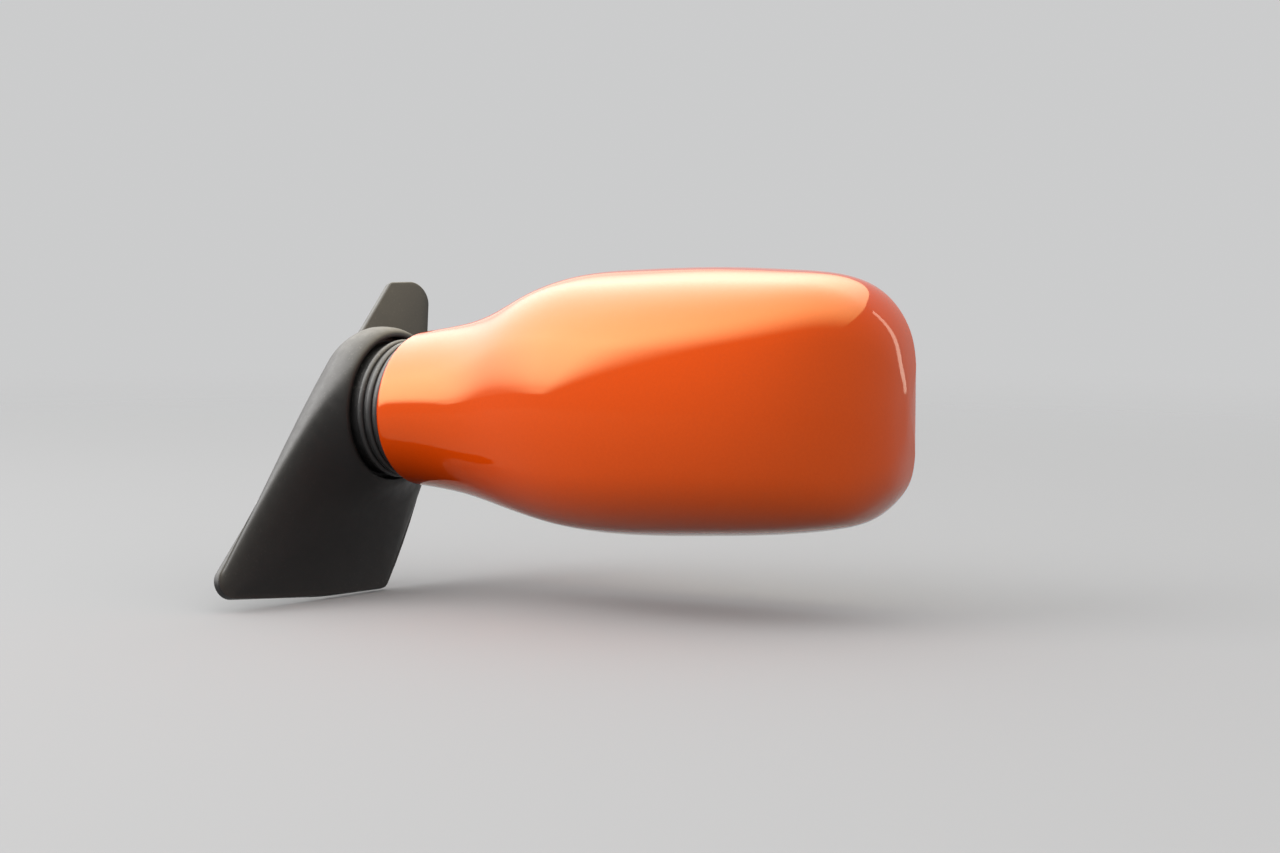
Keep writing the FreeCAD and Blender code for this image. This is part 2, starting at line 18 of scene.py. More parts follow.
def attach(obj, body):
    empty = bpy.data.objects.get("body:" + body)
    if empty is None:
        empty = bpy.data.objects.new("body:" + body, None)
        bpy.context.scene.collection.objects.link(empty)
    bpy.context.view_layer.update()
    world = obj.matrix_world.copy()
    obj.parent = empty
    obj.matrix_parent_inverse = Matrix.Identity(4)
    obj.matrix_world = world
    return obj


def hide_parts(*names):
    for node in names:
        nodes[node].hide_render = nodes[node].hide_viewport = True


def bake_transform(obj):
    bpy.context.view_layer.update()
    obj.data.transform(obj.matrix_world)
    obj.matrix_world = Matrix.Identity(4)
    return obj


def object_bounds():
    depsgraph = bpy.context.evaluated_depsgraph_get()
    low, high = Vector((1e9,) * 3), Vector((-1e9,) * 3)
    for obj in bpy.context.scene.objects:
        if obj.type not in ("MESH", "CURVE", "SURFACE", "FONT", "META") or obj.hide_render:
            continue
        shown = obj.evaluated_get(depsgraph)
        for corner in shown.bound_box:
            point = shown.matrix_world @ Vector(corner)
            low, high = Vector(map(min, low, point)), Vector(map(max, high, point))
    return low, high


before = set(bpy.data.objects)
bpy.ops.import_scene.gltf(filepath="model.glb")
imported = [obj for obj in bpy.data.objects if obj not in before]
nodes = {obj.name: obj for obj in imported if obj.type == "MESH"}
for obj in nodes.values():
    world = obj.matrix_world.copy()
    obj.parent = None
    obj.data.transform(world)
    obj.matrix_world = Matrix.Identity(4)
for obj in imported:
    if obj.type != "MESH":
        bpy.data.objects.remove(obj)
bpy.context.view_layer.update()
cad_low, cad_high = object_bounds()
print("CAD box in metres:", [round(v, 3) for v in cad_low], [round(v, 3) for v in cad_high])

# %% [markdown]
# ## Camera
# The viewpoint comes first, because every later choice is judged through it. The camera
# stands in front of the mirror, 42 degrees round to its outer side, and looks 5 degrees
# down. A long lens keeps the round neck and the collar from looking stretched.
# A constraint could aim the camera, but its axes follow from the two angles just as well,
# and the same two helpers place the working frames and the lights later on.

# %% Place the camera
CAMERA_AZIMUTH, CAMERA_ELEVATION = 42.0, 5.0
CAMERA_PLACE = (0.79578, -0.66724, 0.11555)
LENS, SENSOR_WIDTH = 64.69, 36.0
UP = Vector((0.0, 0.0, 1.0))


def bearing(azimuth, elevation=0.0):
    """The direction towards a place round the mirror: 0 is in front, 90 is outboard."""
    a, e = math.radians(azimuth), math.radians(elevation)
    return Vector((math.sin(a) * math.cos(e), -math.cos(a) * math.cos(e), math.sin(e)))


def axes_matrix(origin, x_axis, y_axis, z_axis):
    """Puts a thing at an origin, with its own axes along the three given ones."""
    turn = Matrix((x_axis, y_axis, z_axis)).transposed().to_4x4()
    return Matrix.Translation(origin) @ turn


camera_back = bearing(CAMERA_AZIMUTH, CAMERA_ELEVATION)
camera_right = UP.cross(camera_back).normalized()
camera_up = camera_back.cross(camera_right)

scene = bpy.context.scene
scene.view_settings.view_transform = "Standard"
camera = bpy.data.objects.new("camera", bpy.data.cameras.new("camera"))
scene.collection.objects.link(camera)
scene.camera = camera
camera.data.sensor_width = SENSOR_WIDTH
camera.data.lens = LENS
camera.matrix_world = axes_matrix(CAMERA_PLACE, camera_right, camera_up, camera_back)
print("camera with a", LENS, "mm lens")

# %% [markdown]
# ## Two working frames
# The arm sweeps 15.5 degrees to the rear and the mounting face leans 20 degrees inboard,
# so no piece is square to the world. Each one is modelled straight, in a frame of its own,
# and turned into place at the end. In the arm's frame X runs out along the neck, Y to the
# rear and Z up. In the mount's frame X runs to the rear, Y up the slope and Z out.

# %% Frames of the arm and the mount
MM = 0.001
SWEEP = math.radians(15.5)
LEAN = math.radians(20.0)
COLLAR_CENTRE = Vector((23.7, 24.0, 33.8))
NECK_GAP = 14.0
REARWARD = Vector((0.0, 1.0, 0.0))
ARM_AXIS = Vector((math.cos(SWEEP), math.sin(SWEEP), 0.0))
NECK = COLLAR_CENTRE + ARM_AXIS * NECK_GAP
MOUNT_OUT = Vector((math.cos(LEAN), 0.0, math.sin(LEAN)))
MOUNT_UP = Vector((-math.sin(LEAN), 0.0, math.cos(LEAN)))

# from each working frame in millimetres: to the row's frame in millimetres or in metres
MOUNT_MM = axes_matrix(Vector((0.0, 0.0, 0.0)), REARWARD, MOUNT_UP, MOUNT_OUT)
ROW = Matrix.Scale(MM, 4)
MOUNT = ROW @ MOUNT_MM
ARM = ROW @ axes_matrix(NECK, ARM_AXIS, UP.cross(ARM_AXIS), UP)
print("the neck starts at", [round(v, 1) for v in NECK], "mm")

# %% [markdown]
# ## One way to model most of it
# Nearly every piece here is a closed outline that changes along an axis: the head, the
# foot, the plate, the gasket, even a screw thread. A lathe would only do the round ones,
# and sculpting would not keep the sizes. So one circle is added, extruded once for each
# further outline, and each ring is then pulled onto the outline meant for it. The ends
# are filled or left open. All rings share one count of points, so the faces stay square.
# A hollow piece may be lined: the faces of its first rings then get a second material.

# %% Helper: a tube of rings
START_RADIUS = 10.0


def new_circle(name, points, **settings):
    """Adds a named circle and leaves nothing else selected."""
    bpy.ops.object.select_all(action="DESELECT")
    bpy.ops.mesh.primitive_circle_add(vertices=points, **settings)
    circle = bpy.context.object
    circle.name = name
    circle.data.name = name
    return circle


def fill_end(tube, level):
    """Fills the ring at one level of a straight tube, in edit mode."""
    bpy.ops.mesh.select_all(action="DESELECT")
    mesh = bmesh.from_edit_mesh(tube.data)
    for edge in mesh.edges:
        edge.select = all(round(vertex.co.z) == level for vertex in edge.verts)
    bpy.ops.mesh.edge_face_add()


def ring_tube(name, rings, ends=True, lining=None):
    """A circle extruded once for each ring, each ring pulled onto its list of points.

    A lining is the outer material, the inner one and the count of rings inside.
    """
    count = len(rings[0])
    tube = new_circle(name, count, radius=START_RADIUS)
    bpy.ops.object.mode_set(mode="EDIT")
    bpy.ops.mesh.select_all(action="SELECT")
    for _ in rings[1:]:
        bpy.ops.mesh.extrude_region_move(TRANSFORM_OT_translate={"value": (0, 0, 1.0)})
    if ends:
        fill_end(tube, 0)
        fill_end(tube, len(rings) - 1)
    bpy.ops.object.mode_set(mode="OBJECT")
    mesh = tube.data
    levels = [max(mesh.vertices[i].co.z for i in face.vertices) for face in mesh.polygons]
    for vertex in mesh.vertices:
        turn = math.atan2(-vertex.co.x, vertex.co.y) / math.tau * count
        vertex.co = rings[round(vertex.co.z)][round(turn) % count]
    if lining:
        skin, inside, inner_count = lining
        mesh.materials.append(skin)
        mesh.materials.append(inside)
        mesh.polygons.foreach_set("material_index", [z < inner_count for z in levels])
    return tube


print("ring tube ready")

# %% [markdown]
# ## Cutting and settling
# A modifier is applied as soon as it is set, so that the mesh holds what is seen. Each
# finished piece is turned into the row's frame, its faces are made to point outwards, and
# it is smoothed except across sharp angles. Then it is hung from the CAD body that carries
# it, gets its material if it has none yet, and the solids that it stands for are hidden.

# %% Helpers: cutting and settling
MERGE_DISTANCE = 0.0001


def make_active(piece):
    bpy.ops.object.select_all(action="DESELECT")
    piece.select_set(True)
    bpy.context.view_layer.objects.active = piece


def outward(piece):
    """Merges doubled points and turns every face outwards."""
    make_active(piece)
    bpy.ops.object.mode_set(mode="EDIT")
    bpy.ops.mesh.select_all(action="SELECT")
    bpy.ops.mesh.remove_doubles(threshold=MERGE_DISTANCE)
    bpy.ops.mesh.normals_make_consistent(inside=False)
    bpy.ops.object.mode_set(mode="OBJECT")


def cut_with(piece, cutter):
    """Takes a closed cutter out of a piece whose faces already point outwards."""
    outward(cutter)
    make_active(piece)
    cut = piece.modifiers.new("cut", "BOOLEAN")
    cut.object = cutter
    cut.operation = "DIFFERENCE"
    cut.solver = "EXACT"
    bpy.ops.object.modifier_apply(modifier=cut.name)
    bpy.data.objects.remove(cutter)


def settle(piece, matrix, material, body=None, replaced=(), angle=35.0):
    """Turns a piece into place, smooths it, hangs it from what carries it and hides what it
    replaces.
    """
    outward(piece)
    piece.data.transform(matrix)
    make_active(piece)
    bpy.ops.object.shade_smooth_by_angle(angle=math.radians(angle))
    if not piece.data.materials:
        piece.data.materials.append(material)
    if body:
        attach(piece, body)
    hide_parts(*replaced)
    size = [round(v / MM, 1) for v in piece.dimensions]
    print(piece.name, "has", len(piece.data.polygons), "faces and is", size, "mm")


print("cutting and settling ready")

# %% [markdown]
# ## Effects that several finishes share
# Moulded plastic, rubber and cast metal all have a fine grain, nothing is evenly glossy,
# and dust settles on whatever faces up. Each effect is a node group, so that it is built
# once and tuned by its inputs. Images would look sharper up close, but they need unwrapped
# surfaces; noise read from the object's own coordinates holds its real size on any shape.

# %% Node groups: grain, unevenness and dust
# the range that noise seldom leaves, the part of it that makes specks, and how far up a
# face has to look for some dust and for all of it
NOISE_RANGE, SPECK_RANGE, DUST_FACING = (0.3, 0.7), (0.6, 0.78), (-0.2, 1.0)


def new_group(name, inputs, output):
    group = bpy.data.node_groups.new(name, "ShaderNodeTree")
    for label, value in inputs.items():
        socket = group.interface.new_socket(label, in_out="INPUT", socket_type="NodeSocketFloat")
        socket.default_value = value
    group.interface.new_socket(output, in_out="OUTPUT", socket_type="NodeSocketFloat")
    entry = group.nodes.new("NodeGroupInput")
    leave = group.nodes.new("NodeGroupOutput")
    return group, entry, leave


def add_node(tree, kind, links=None, **settings):
    """Adds a node, sets its fields, and fills its sockets with values or other outputs."""
    node = tree.nodes.new("ShaderNode" + kind)
    for key, value in settings.items():
        setattr(node, key, value)
    for socket, value in (links or {}).items():
        if isinstance(value, bpy.types.NodeSocket):
            tree.links.new(value, node.inputs[socket])
        else:
            node.inputs[socket].default_value = value
    return node


def combine(tree, first, second, operation="MULTIPLY"):
    node = add_node(tree, "Math", {0: first, 1: second}, operation=operation)
    return node.outputs["Value"]


def part_of(tree, vector, letter):
    return add_node(tree, "SeparateXYZ", {0: vector}).outputs[letter]


def ranged(tree, value, start, stop, low=0.0, high=1.0, kind="LINEAR"):
    """A value between start and stop, mapped to run from low to high."""
    node = add_node(tree, "MapRange", {"Value": value, "From Min": start, "From Max": stop,
                                       "To Min": low, "To Max": high}, interpolation_type=kind)
    return node.outputs["Result"]


def texture(group, entry, kind, output, **settings):
    """A texture on the object's own coordinates, as fine as the group's Scale says."""
    place = add_node(group, "TexCoord")
    node = add_node(group, kind, {"Vector": place.outputs["Object"],
                                  "Scale": entry.outputs["Scale"], **settings})
    return node.outputs[output]


def grain_group():
    group, entry, leave = new_group("moulded_grain", {"Scale": 1500.0}, "Height")
    cells = texture(group, entry, "TexVoronoi", "Distance")
    noise = texture(group, entry, "TexNoise", "Fac", Detail=3.0)
    group.links.new(combine(group, cells, noise, "ADD"), leave.inputs["Height"])
    return group


def uneven_group():
    inputs = {"Scale": 40.0, "Low": 0.4, "High": 0.5}
    group, entry, leave = new_group("uneven_value", inputs, "Value")
    noise = texture(group, entry, "TexNoise", "Fac", Detail=4.0)
    spread = ranged(group, noise, *NOISE_RANGE, entry.outputs["Low"], entry.outputs["High"])
    group.links.new(spread, leave.inputs["Value"])
    return group


def dust_group():
    group, entry, leave = new_group("settled_dust", {"Scale": 900.0, "Amount": 0.5}, "Mask")
    facing = add_node(group, "NewGeometry")
    upward = ranged(group, part_of(group, facing.outputs["Normal"], "Z"), *DUST_FACING)
    noise = texture(group, entry, "TexNoise", "Fac", Detail=2.0)
    mask = combine(group, upward, ranged(group, noise, *SPECK_RANGE))
    group.links.new(combine(group, mask, entry.outputs["Amount"]), leave.inputs["Mask"])
    return group


GRAIN, UNEVEN, DUST = grain_group(), uneven_group(), dust_group()
print("node groups:", GRAIN.name, UNEVEN.name, DUST.name)

# %% [markdown]
# ## From groups to finishes
# Each finish below starts from the same small recipe: a base colour with a second tone
# mixed in by noise, a roughness that wanders between two limits, a bump from the grain,
# and dust on top. What makes paint, rubber or steel of it is the shader's own settings,
# such as metallic and specular, which stay constant on the surface.

# %% Helper: a finish
DUST_COLOUR = (0.42, 0.40, 0.36, 1.0)
GLOSS_FINENESS = 3


def use_group(tree, group, **values):
    node = tree.nodes.new("ShaderNodeGroup")
    node.node_tree = group
    for label, value in values.items():
        node.inputs[label].default_value = value
    return node.outputs[0]


def mix_colours(tree, factor, first, second):
    mixed = add_node(tree, "Mix", {"Factor": factor, "A": first, "B": second}, data_type="RGBA")
    return mixed.outputs["Result"]


def finish(name, colour, second, rough, grain=1500.0, depth=0.02, dust=0.4, tone_scale=60.0,
           **shader):
    """A material: two tones, a range of roughness, grain in mm of depth, and dust."""
    material = bpy.data.materials.new(name)
    material.use_nodes = True
    tree = material.node_tree
    principled = tree.nodes["Principled BSDF"]
    tones = use_group(tree, UNEVEN, Scale=tone_scale, Low=0.0, High=1.0)
    mixed = mix_colours(tree, tones, (*colour, 1.0), (*second, 1.0))
    dusty = mix_colours(tree, use_group(tree, DUST, Amount=dust), mixed, DUST_COLOUR)
    bump = add_node(tree, "Bump", {"Height": use_group(tree, GRAIN, Scale=grain),
                                   "Distance": depth * MM})
    roughness = use_group(tree, UNEVEN, Scale=tone_scale * GLOSS_FINENESS,
                          Low=rough[0], High=rough[1])
    tree.links.new(dusty, principled.inputs["Base Color"])
    tree.links.new(roughness, principled.inputs["Roughness"])
    tree.links.new(bump.outputs["Normal"], principled.inputs["Normal"])
    for label, value in shader.items():
        principled.inputs[label.replace("_", " ")].default_value = value
    print("finish", name)
    return material


print("a finish has dust of colour", DUST_COLOUR[:3])

# %% [markdown]
# ## The finishes of this mirror
# The head is sprayed in a solid orange with a high gloss. A clear coat on top would be the
# usual way, but a coat mirrors the pale studio without any colour, and a veil of white
# over orange turns pink. So the paint has one sharp gloss of its own with a warm tint, and
# its highlights run from orange through peach to cream. The foot and the plate are black
# plastic with a satin, spark-eroded grain. The rubbers are softer and blacker, the studs
# and screws are zinc plated, the fork is die cast, and the inner mouldings are plain
# technical plastics.

# %% Make the finishes
paint = finish("body_paint", (0.93, 0.079, 0.001), (0.90, 0.074, 0.001), (0.035, 0.05),
               grain=700.0, depth=0.0012, dust=0.03, tone_scale=900.0,
               Specular_IOR_Level=0.65, Specular_Tint=(1.0, 0.78, 0.34, 1.0))
black_moulding = finish("black_moulding", (0.005, 0.0045, 0.0045), (0.008, 0.007, 0.007),
                        (0.40, 0.50), grain=2200.0, depth=0.012, dust=0.1, tone_scale=90.0,
                        Specular_IOR_Level=0.35)
gasket_rubber = finish("gasket_rubber", (0.012, 0.012, 0.012), (0.02, 0.019, 0.018),
                       (0.7, 0.85), grain=1800.0, depth=0.02, dust=0.6)
bellows_rubber = finish("bellows_rubber", (0.009, 0.009, 0.0095), (0.014, 0.013, 0.013),
                        (0.42, 0.52), grain=2600.0, depth=0.008, dust=0.5)
zinc_steel = finish("zinc_steel", (0.62, 0.62, 0.60), (0.55, 0.54, 0.47), (0.26, 0.38),
                    grain=2500.0, depth=0.003, dust=0.1, tone_scale=250.0, Metallic=1.0)
cast_alloy = finish("cast_alloy", (0.52, 0.52, 0.53), (0.44, 0.44, 0.45), (0.42, 0.55),
                    grain=1100.0, depth=0.03, dust=0.2, Metallic=1.0)
frame_plastic = finish("frame_plastic", (0.035, 0.035, 0.036), (0.05, 0.05, 0.05),
                       (0.5, 0.6), grain=1200.0, depth=0.02)
bezel_plastic = finish("bezel_plastic", (0.013, 0.013, 0.013), (0.018, 0.018, 0.018),
                       (0.38, 0.46), grain=2200.0, depth=0.01)
adjuster_plastic = finish("adjuster_plastic", (0.05, 0.052, 0.055), (0.065, 0.067, 0.07),
                          (0.42, 0.5), grain=1400.0, depth=0.015)
holder_plastic = finish("holder_plastic", (0.016, 0.016, 0.016), (0.022, 0.022, 0.022),
                        (0.36, 0.45), grain=2000.0, depth=0.01)
mirror_glass = finish("mirror_glass", (0.80, 0.83, 0.84), (0.78, 0.81, 0.82), (0.0, 0.012),
                      grain=60.0, depth=0.0, dust=0.1, Metallic=1.0)

# %% [markdown]
# ## The head's form
# The head is a round neck that swells into a tall, soft box with a blunt outer end. It is
# described by a table of sections square to the arm. Each quarter of a section is three
# arcs that run into each other without a kink: a flat crown, a tight corner and a flat
# side. A subdivision surface over a rough cage would be quicker, but its bulges could not
# be set in millimetres, so the sections are splined along the arm instead.

# %% The head's sections
# x, front y, back y, top z, bottom z, y of top and bottom, z of front and back,
# front corner radius, back corner radius
HEAD_ROWS = np.array([
    (0.0, -33.5, 33.5, 33.9, -33.5, 0.0, 0.2, 33.5, 33.5),
    (14.0, -34.0, 34.2, 36.4, -34.8, 0.5, 0.8, 34.0, 33.5),
    (30.0, -35.0, 36.5, 39.9, -37.3, 2.0, 1.4, 34.0, 31.0),
    (46.0, -37.0, 43.0, 46.6, -41.7, 6.0, 2.6, 34.5, 29.0),
    (62.0, -40.4, 52.0, 55.2, -46.2, 11.0, 4.5, 35.0, 28.0),
    (78.0, -43.8, 58.0, 60.4, -49.6, 15.0, 5.5, 36.0, 27.0),
    (100.0, -46.8, 61.0, 62.7, -51.4, 18.0, 6.0, 37.0, 26.0),
    (140.0, -46.5, 62.0, 64.1, -50.2, 20.0, 7.0, 38.0, 26.0),
    (172.0, -40.0, 62.0, 63.3, -47.9, 21.0, 7.5, 36.0, 26.0),
    (194.0, -28.5, 62.0, 61.0, -45.0, 23.0, 8.0, 32.0, 25.0),
    (206.0, -16.5, 61.0, 55.5, -41.2, 25.0, 7.5, 26.0, 24.0),
    (214.0, -4.5, 60.0, 47.0, -34.0, 27.0, 7.0, 20.0, 20.0),
    (219.5, 9.0, 58.0, 35.0, -24.5, 29.0, 6.0, 14.0, 14.0),
    (221.8, 20.0, 56.0, 21.0, -11.0, 31.0, 5.0, 8.0, 8.0),
])
SEAM = math.radians(15.0)
ARC_STEPS = (30, 60, 30)


def quarter(width, height, radius):
    """A quarter section from its side's extreme to its crown's, as (across, up) pairs."""
    s, c = math.sin(SEAM), math.cos(SEAM)
    across, upright = width - radius * (c - s), height - radius * (c - s)
    scale = s * s - (1 - c) ** 2
    crown = (s * across - (1 - c) * upright) / scale
    side = (s * upright - (1 - c) * across) / scale
    arcs = [(width - side, 0.0, side),
            ((crown - radius) * s, height - crown + (crown - radius) * c, radius),
            (0.0, height - crown, crown)]
    limits = [math.pi / 2, math.pi / 2 - SEAM, SEAM, 0.0]
    points = []
    for (u, v, arc), start, stop, steps in zip(arcs, limits, limits[1:], ARC_STEPS):
        for angle in np.linspace(start, stop, steps, endpoint=False):
            points.append((u + arc * math.sin(angle), v + arc * math.cos(angle)))
    points.append((0.0, height))
    return points


def full_section(row):
    """The closed outline of a section as an array of (y, z), from the back over the top."""
    _, front, back, top, bottom, y, z, front_radius, back_radius = row
    rear_top = [(y + u, z + v) for u, v in quarter(back - y, top - z, back_radius)]
    front_top = [(y - u, z + v) for u, v in quarter(y - front, top - z, front_radius)]
    front_low = [(y - u, z - v) for u, v in quarter(y - front, z - bottom, front_radius)]
    rear_low = [(y + u, z - v) for u, v in quarter(back - y, z - bottom, back_radius)]
    outline = rear_top[:-1] + front_top[:0:-1] + front_low[:-1] + rear_low[::-1]
    return np.array(outline)


def spline(marks, values, at):
    """Values at the given marks on a natural cubic spline through a table of values."""
    gaps = np.diff(marks)
    matrix = np.eye(len(marks))
    right = np.zeros(values.shape)
    for i in range(1, len(marks) - 1):
        matrix[i, i - 1:i + 2] = gaps[i - 1], 2 * (gaps[i - 1] + gaps[i]), gaps[i]
        right[i] = 6 * ((values[i + 1] - values[i]) / gaps[i]
                        - (values[i] - values[i - 1]) / gaps[i - 1])
    bend = np.linalg.solve(matrix, right)
    found = []
    for mark in at:
        i = min(np.searchsorted(marks, mark, side="right") - 1, len(marks) - 2)
        low, high, gap = marks[i + 1] - mark, mark - marks[i], gaps[i]
        found.append((bend[i] * low ** 3 + bend[i + 1] * high ** 3) / (6 * gap)
                     + (values[i] / gap - bend[i] * gap / 6) * low
                     + (values[i + 1] / gap - bend[i + 1] * gap / 6) * high)
    return np.array(found)


def running_length(points):
    """The length of a line of points up to each of its points."""
    steps = np.linalg.norm(np.diff(points, axis=0), axis=1)
    return np.concatenate([[0.0], np.cumsum(steps)])


# the sections are spaced along the spline as their x, front y and top z move
row_marks = running_length(HEAD_ROWS[:, [0, 1, 3]])
print("the head's profile is", round(row_marks[-1]), "mm long")

# %% [markdown]
# ## The flat rear and its rounded rim
# Behind the arm the head is cut flat, and the paint turns into that face over a small
# radius. Cutting the mesh with a plane and bevelling the edge leaves slivers where the
# neck meets the plane at a glancing angle. Here the rim is part of every ring: points are
# gathered where the outline nears the plane and bent into it, so the rim stays clean.

# %% Rings of the head
REAR, RIM_ROUND = 36.0, 2.4
FLAT_STEPS, RIM_STEPS, BODY_STEPS = 6, 7, 82
LEAST_SHARE = 0.02
HEAD_LENGTH, END_POWER = 222.0, 6
RING_STATIONS = 74
END_SHARES, END_CROWN = (0.85, 0.6, 0.35, 0.15, 0.03), 0.5


def rear_limit(x, end):
    """How far back the head may reach at x: its rear face turns into the end too."""
    depth = min(max(x - (end - RIM_ROUND), 0.0), RIM_ROUND)
    return REAR - RIM_ROUND + math.sqrt(RIM_ROUND ** 2 - depth ** 2)


def head_ring(row, limit, soft):
    """A section's ring, bent into the rear plane at limit over a rim as large as soft."""
    outline = full_section(row)
    lengths = running_length(outline)
    whole = lengths[-1]
    half = len(outline) // 2
    cross = [np.interp(-level, -outline[:half, 0], lengths[:half])
             for level in (limit + soft, limit - soft)]
    low_cross = [np.interp(level, outline[half:, 0], lengths[half:])
                 for level in (limit - soft, limit + soft)]
    least = LEAST_SHARE * whole
    first = max(cross[0], least)
    second = max(cross[1], first + least)
    fourth = min(low_cross[1], whole - least)
    third = min(low_cross[0], fourth - least)
    spans = [(0.0, first, FLAT_STEPS), (first, second, RIM_STEPS), (second, third, BODY_STEPS),
             (third, fourth, RIM_STEPS), (fourth, whole, FLAT_STEPS)]
    at = np.concatenate([np.linspace(a, b, n, endpoint=False) for a, b, n in spans])
    y, z = (np.interp(at, lengths, outline[:, k]) for k in (0, 1))
    bent = y - (y - limit + soft) ** 2 / (4 * soft)
    y = np.where(y > limit + soft, limit, np.where(y < limit - soft, y, bent))
    return [Vector((row[0], a, b)) for a, b in zip(y, z)]


def inset_row(row, inset):
    """The same section of an inner skin; it is shortened only near the head's end."""
    shrink = inset * (row[0] / HEAD_LENGTH) ** END_POWER
    return row + np.array([-shrink, inset, -inset, -inset, inset, 0, 0, -inset, -inset])


def scaled_ring(ring, share):
    """A smaller copy of an end ring for the crowned outer end."""
    middle = sum(ring, Vector()) / len(ring)
    shift = Vector((END_CROWN * (1 - share ** 2), 0, 0))
    return [middle + (point - middle) * share + shift for point in ring]


def head_rings(inset, soft):
    marks = np.linspace(0.0, row_marks[-1], RING_STATIONS)
    rows = [inset_row(row, inset) for row in spline(row_marks, HEAD_ROWS, marks)]
    end = rows[-1][0]
    rings = [head_ring(row, rear_limit(row[0], end) - inset, soft) for row in rows]
    return rings + [scaled_ring(rings[-1], share) for share in END_SHARES]


print("a ring of the head has", len(head_ring(HEAD_ROWS[0], REAR, RIM_ROUND)), "points")

# %% [markdown]
# ## The shell and the neck's lip
# The shell is one sheet that goes round its own edge: up the inside, over a thick rounded
# lip at the neck, and out along the paint. The lip is not square to the arm but slanted by
# 6.5 degrees. Shearing the neck would also tilt the form behind it, so the first rings are
# slid along the skin that they already lie on, less and less with distance. The inside is
# black, since such heads are only sprayed from the outside.

# %% Build the shell
WALL, INNER_ROUND = 2.8, 0.5
RIM_SLANT = math.tan(math.radians(6.5))
# where the inner skin starts, the length over which the slide fades, the rings it can move
NECK_START, NECK_SLIDE, SLID_RINGS = 2.2, 46.0, 24
NECK_LIP_DEPTH, NECK_LIP_HEIGHT = 2.4, 1.9
NECK_LIP_TURNS = range(0, 91, 15)


def slid_neck(rings, start):
    """The same skin, its neck rings slid along it so that the first lies in the slant."""
    columns = np.array([[tuple(p) for p in ring] for ring in rings[:SLID_RINGS]])
    slid = []
    for i, ring in enumerate(rings):
        rest = 1 - ring[0].x / NECK_SLIDE
        if i >= SLID_RINGS or rest <= 0:
            slid.append(ring)
            continue
        points = []
        for j, p in enumerate(ring):
            x = p.x + (start + p.y * RIM_SLANT) * rest ** 2
            y, z = (np.interp(x, columns[:, j, 0], columns[:, j, k]) for k in (1, 2))
            points.append(Vector((x, y, z)))
        slid.append(points)
    return slid


outer_rings = slid_neck(head_rings(0.0, RIM_ROUND), NECK_START + NECK_LIP_DEPTH)
inner_rings = slid_neck(head_rings(WALL, INNER_ROUND), NECK_START)
lip_rings = []
for angle in NECK_LIP_TURNS:
    turn = math.radians(angle)
    inset, slide = NECK_LIP_HEIGHT * (1 - math.sin(turn)), NECK_LIP_DEPTH * math.cos(turn)
    lip_rings.append([p - Vector((slide, 0, 0)) - Vector((0, p.y, p.z)).normalized() * inset
                      for p in outer_rings[0]])
shell = ring_tube("head_shell", inner_rings[::-1] + lip_rings + outer_rings[1:],
                  lining=(paint, bezel_plastic, len(inner_rings)))
print("head shell so far:", len(shell.data.polygons), "faces")

# %% [markdown]
# ## The mouth in the head
# The rear wall is open where the mirror glass tilts. The opening is a rectangle with four
# different corners, and its painted edge is slightly rounded. It could be knifed face by
# face, but a solid cutter subtracted with a boolean gives an exact edge. The cutter is one
# more tube of rings: it flares at the surface by a quarter round, which rounds the edge.

# %% Cut the mouth
# x, z and radius of each corner
MOUTH = [(64.5, -44.0, 24.0), (214.0, -40.5, 25.0), (214.0, 57.0, 29.0), (64.5, 54.5, 27.0)]
CORNER_STEPS = 14
LEAST_RADIUS = 0.05
EDGE_ROUND, ROUND_STEPS = 0.6, 4
CUTTER_DEPTH = 3 * WALL


def unit(angle):
    """A step of length one at an angle, in the plane of an outline."""
    return Vector((math.cos(angle), math.sin(angle)))


def rounded_outline(corners, offset=0.0, straight=1):
    """Points round an outline of (x, y, radius) corners, moved out by offset."""
    arcs = []
    for i, (x, y, radius) in enumerate(corners):
        here = Vector((x, y))
        before = (Vector(corners[i - 1][:2]) - here).normalized()
        after = (Vector(corners[(i + 1) % len(corners)][:2]) - here).normalized()
        half = before.angle(after) / 2
        centre = here + (before + after).normalized() * (radius / math.sin(half))
        start = math.atan2(before.x, -before.y)
        swing = math.pi - 2 * half
        reach = max(radius + offset, LEAST_RADIUS)
        angles = [start + swing * k / CORNER_STEPS for k in range(CORNER_STEPS + 1)]
        arcs.append([centre + unit(angle) * reach for angle in angles])
    points = []
    for arc, following in zip(arcs, arcs[1:] + arcs[:1]):
        points += arc
        points += [arc[-1].lerp(following[0], k / straight) for k in range(1, straight)]
    return points


def mouth_ring(offset, y):
    """The mouth's outline, drawn in the arm's x and z and placed at y."""
    return [Vector((p.x, y, p.y)) for p in rounded_outline(MOUTH, offset)]


def round_steps(radius):
    """(inset, drop) pairs of a quarter round, from the side to the face."""
    turns = [math.pi / 2 * k / ROUND_STEPS for k in range(ROUND_STEPS + 1)]
    return [(radius * (1 - math.cos(t)), radius * (1 - math.sin(t))) for t in turns]


flare = [mouth_ring(EDGE_ROUND - drop, REAR - EDGE_ROUND + inset)
         for inset, drop in round_steps(EDGE_ROUND)]
cutter = ring_tube("cutter", [mouth_ring(0.0, REAR - CUTTER_DEPTH), *flare,
                              mouth_ring(EDGE_ROUND, REAR + WALL)])
outward(shell)
cut_with(shell, cutter)
settle(shell, ARM, paint, "head", ["housing_shell"], angle=30.0)

# %% [markdown]
# ## The foot's outline
# The foot grows out of the plate as a rounded five-cornered outline and turns into the
# round collar that carries the neck. Every corner is a circle; on the way up the circles
# draw together until they share one centre and one radius, which is the collar. A plain
# bridge between the two outlines would pinch, so each ring on the way is worked out, a
# little swollen in the middle as on the real moulding. Its sides are very flat arcs.

